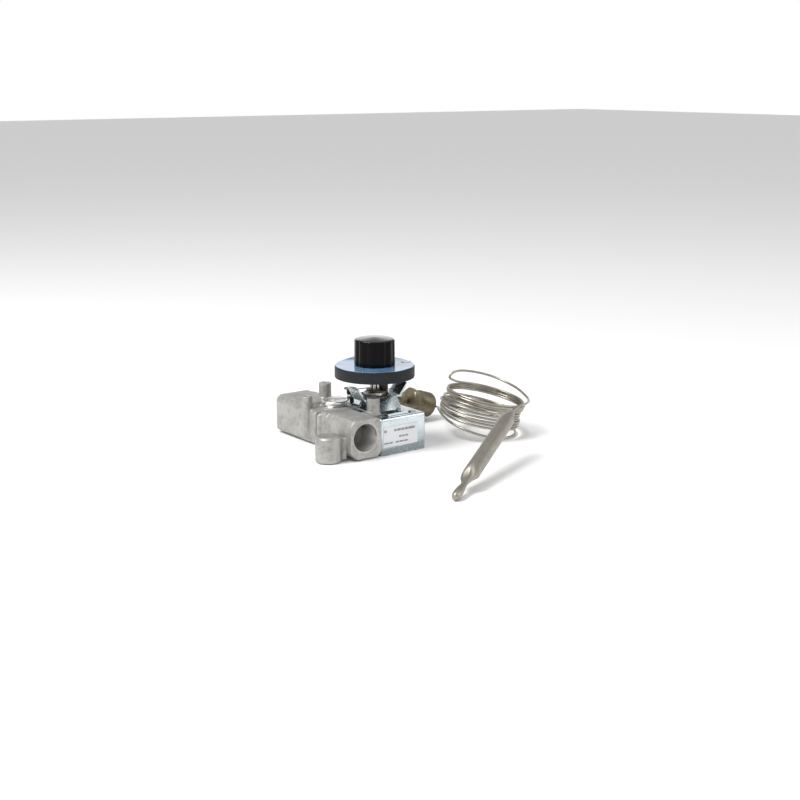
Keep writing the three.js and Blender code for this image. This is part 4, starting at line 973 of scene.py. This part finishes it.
def make_knob():
    base, rim = 52.4, 69.0
    wall_heights = [base + 0.3 + (rim - base - 1.2) * i / 10 for i in range(11)]
    outline = [(3.3, base), (12.5, base)]
    outline += [(13.0 - 0.02 * i, z) for i, z in enumerate(wall_heights)]
    outline += [(12.6, rim - 0.45), (12.1, rim - 0.12), (11.4, rim + 0.05)]
    steps = [1 - i / 8 for i in range(1, 9)]
    outline += [(11.4 * share, rim + 0.05 + 1.15 * (1 - share**1.3)) for share in steps]
    knob = lathe(outline, 240)
    for vert in knob.verts:
        radius = math.hypot(vert.co.x, vert.co.y)
        if radius < SIDE_FROM:
            continue
        angle = math.atan2(vert.co.y, vert.co.x)
        wave = (0.5 + 0.5 * math.cos(FLUTES * angle)) ** 2.2
        fade = soft_step(radius, SIDE_FROM, 12.2) * (1 - soft_step(vert.co.z, rim - 0.9, rim - 0.1))
        shrink = 1 - FLUTE_DEPTH * wave * fade / radius
        vert.co.x *= shrink
        vert.co.y *= shrink
    knob.transform(Matrix.Translation((*DIAL_AXIS, 0)))
    return knob


knob = piece("knob_moulded", make_knob(), "knob")
print("knob:", len(knob.data.polygons), "faces")

# %% [markdown]
# Beside the bridge stands the small screw that sets the lowest flame: a black bush, a bright screw
# with a collar and a black cap with a slot.

# %% The low-flame screw
piece("bypass_bush_turned", lathe([
    (1.4, 22.7), (2.25, 22.7), (2.4, 22.85), (2.4, 25.4), (2.2, 25.7), (1.4, 25.7), (1.4, 22.7),
], 64, *BYPASS_AXIS), "bypass_bush")
bypass_screw = piece("bypass_screw_turned", lathe([
    (0, 17.6), (1.1, 17.6), (1.3, 17.8), (1.3, 25.8), (1.95, 25.8), (2.1, 25.95), (2.1, 27.9),
    (1.95, 28.1), (1.3, 28.1), (1.3, 29.6), (1.1, 29.8), (0, 29.8),
], 64, *BYPASS_AXIS), "bypass_screw")
cap_shape = lathe([
    (1.4, 28.2), (2.25, 28.2), (2.4, 28.35), (2.38, 30.6), (2.2, 31.1), (1.8, 31.35),
    (0.9, 31.4), (0, 31.4), (0, 30.4), (1.3, 30.3), (1.4, 28.2),
], 64, *BYPASS_AXIS)
piece("bypass_cap_turned", cap_shape, "bypass_cap")
# The slot is a flat dark strip laid on the cap's top: painted shade where a cut groove would be.
slot_shade_shape = plank((22.7, 26.5), (51.65, 52.35), (31.36, 31.42))
piece("bypass_cap_slot_painted_shade", slot_shade_shape, "bypass_cap", RUBBER, replace=False)
print("low-flame screw:", len(bypass_screw.data.polygons), "faces")

# %% [markdown]
# What is hidden inside keeps its measured shape, and gets its proper finish.

# %% Finish the hidden pieces
for node, slot_name in SLOT_OF.items():
    data = nodes[node].data
    data.materials.clear()
    data.materials.append(FINISH_OF[slot_name].material)
print("finished:", len(SLOT_OF), "measured pieces")

# %% [markdown]
# A plain pale floor and soft lamps make the even light of a product shot. Bright metal only looks
# like metal when it has light and dark things to reflect, so the studio's walls are white down by
# the floor, dimmer above that, and brightest overhead, where the large lamp would be. The plain
# display transform keeps the pale floor white and the black plastic black.

# %% Floor and light
floor_mesh = bpy.data.meshes.new("floor")
floor_shape = bmesh.new()
bmesh.ops.create_grid(floor_shape, x_segments=1, y_segments=1, size=6)
floor_shape.to_mesh(floor_mesh)
floor_shape.free()
floor = bpy.data.objects.new("floor", floor_mesh)
floor.location = (0, 0, -0.05 * MM)
bpy.context.scene.collection.objects.link(floor)
FLOOR = Finish("floor_white", (0.93, 0.93, 0.93), 0.8)
floor_mesh.materials.append(FLOOR.material)

world = bpy.data.worlds.new("studio")
world.use_nodes = True
sky = world.node_tree
height = sky.nodes.new("ShaderNodeSeparateXYZ")
sky.links.new(sky.nodes.new("ShaderNodeTexCoord").outputs["Generated"], height.inputs[0])
walls = sky.nodes.new("ShaderNodeValToRGB")
for place, grey in ((0.28, 1.0), (0.42, 0.32), (0.68, 0.42)):
    stop = walls.color_ramp.elements.new(place)
    stop.color = (grey, grey, grey, 1.0)
walls.color_ramp.elements[0].color = (1.0, 1.0, 1.0, 1.0)
walls.color_ramp.elements[-1].color = (1.0, 1.0, 1.0, 1.0)
sky.links.new(height.outputs["Z"], walls.inputs[0])
sky.links.new(walls.outputs[0], sky.nodes["Background"].inputs["Color"])
sky.nodes["Background"].inputs["Strength"].default_value = 1.0
bpy.context.scene.world = world
bpy.context.scene.view_settings.view_transform = "Standard"


def soft_lamp(name, place, aim, size, power):
    data = bpy.data.lights.new(name, "AREA")
    data.shape = "DISK"
    data.size = size
    data.energy = power
    lamp = bpy.data.objects.new(name, data)
    lamp.location = place
    lamp.rotation_euler = (Vector(aim) - Vector(place)).to_track_quat("-Z", "Y").to_euler()
    bpy.context.scene.collection.objects.link(lamp)


soft_lamp("key", (-0.7, 0.1, 1.1), (0, 0, 0.02), 0.6, 13)
soft_lamp("fill", (0.9, -0.9, 0.8), (0, 0, 0.02), 0.9, 4)
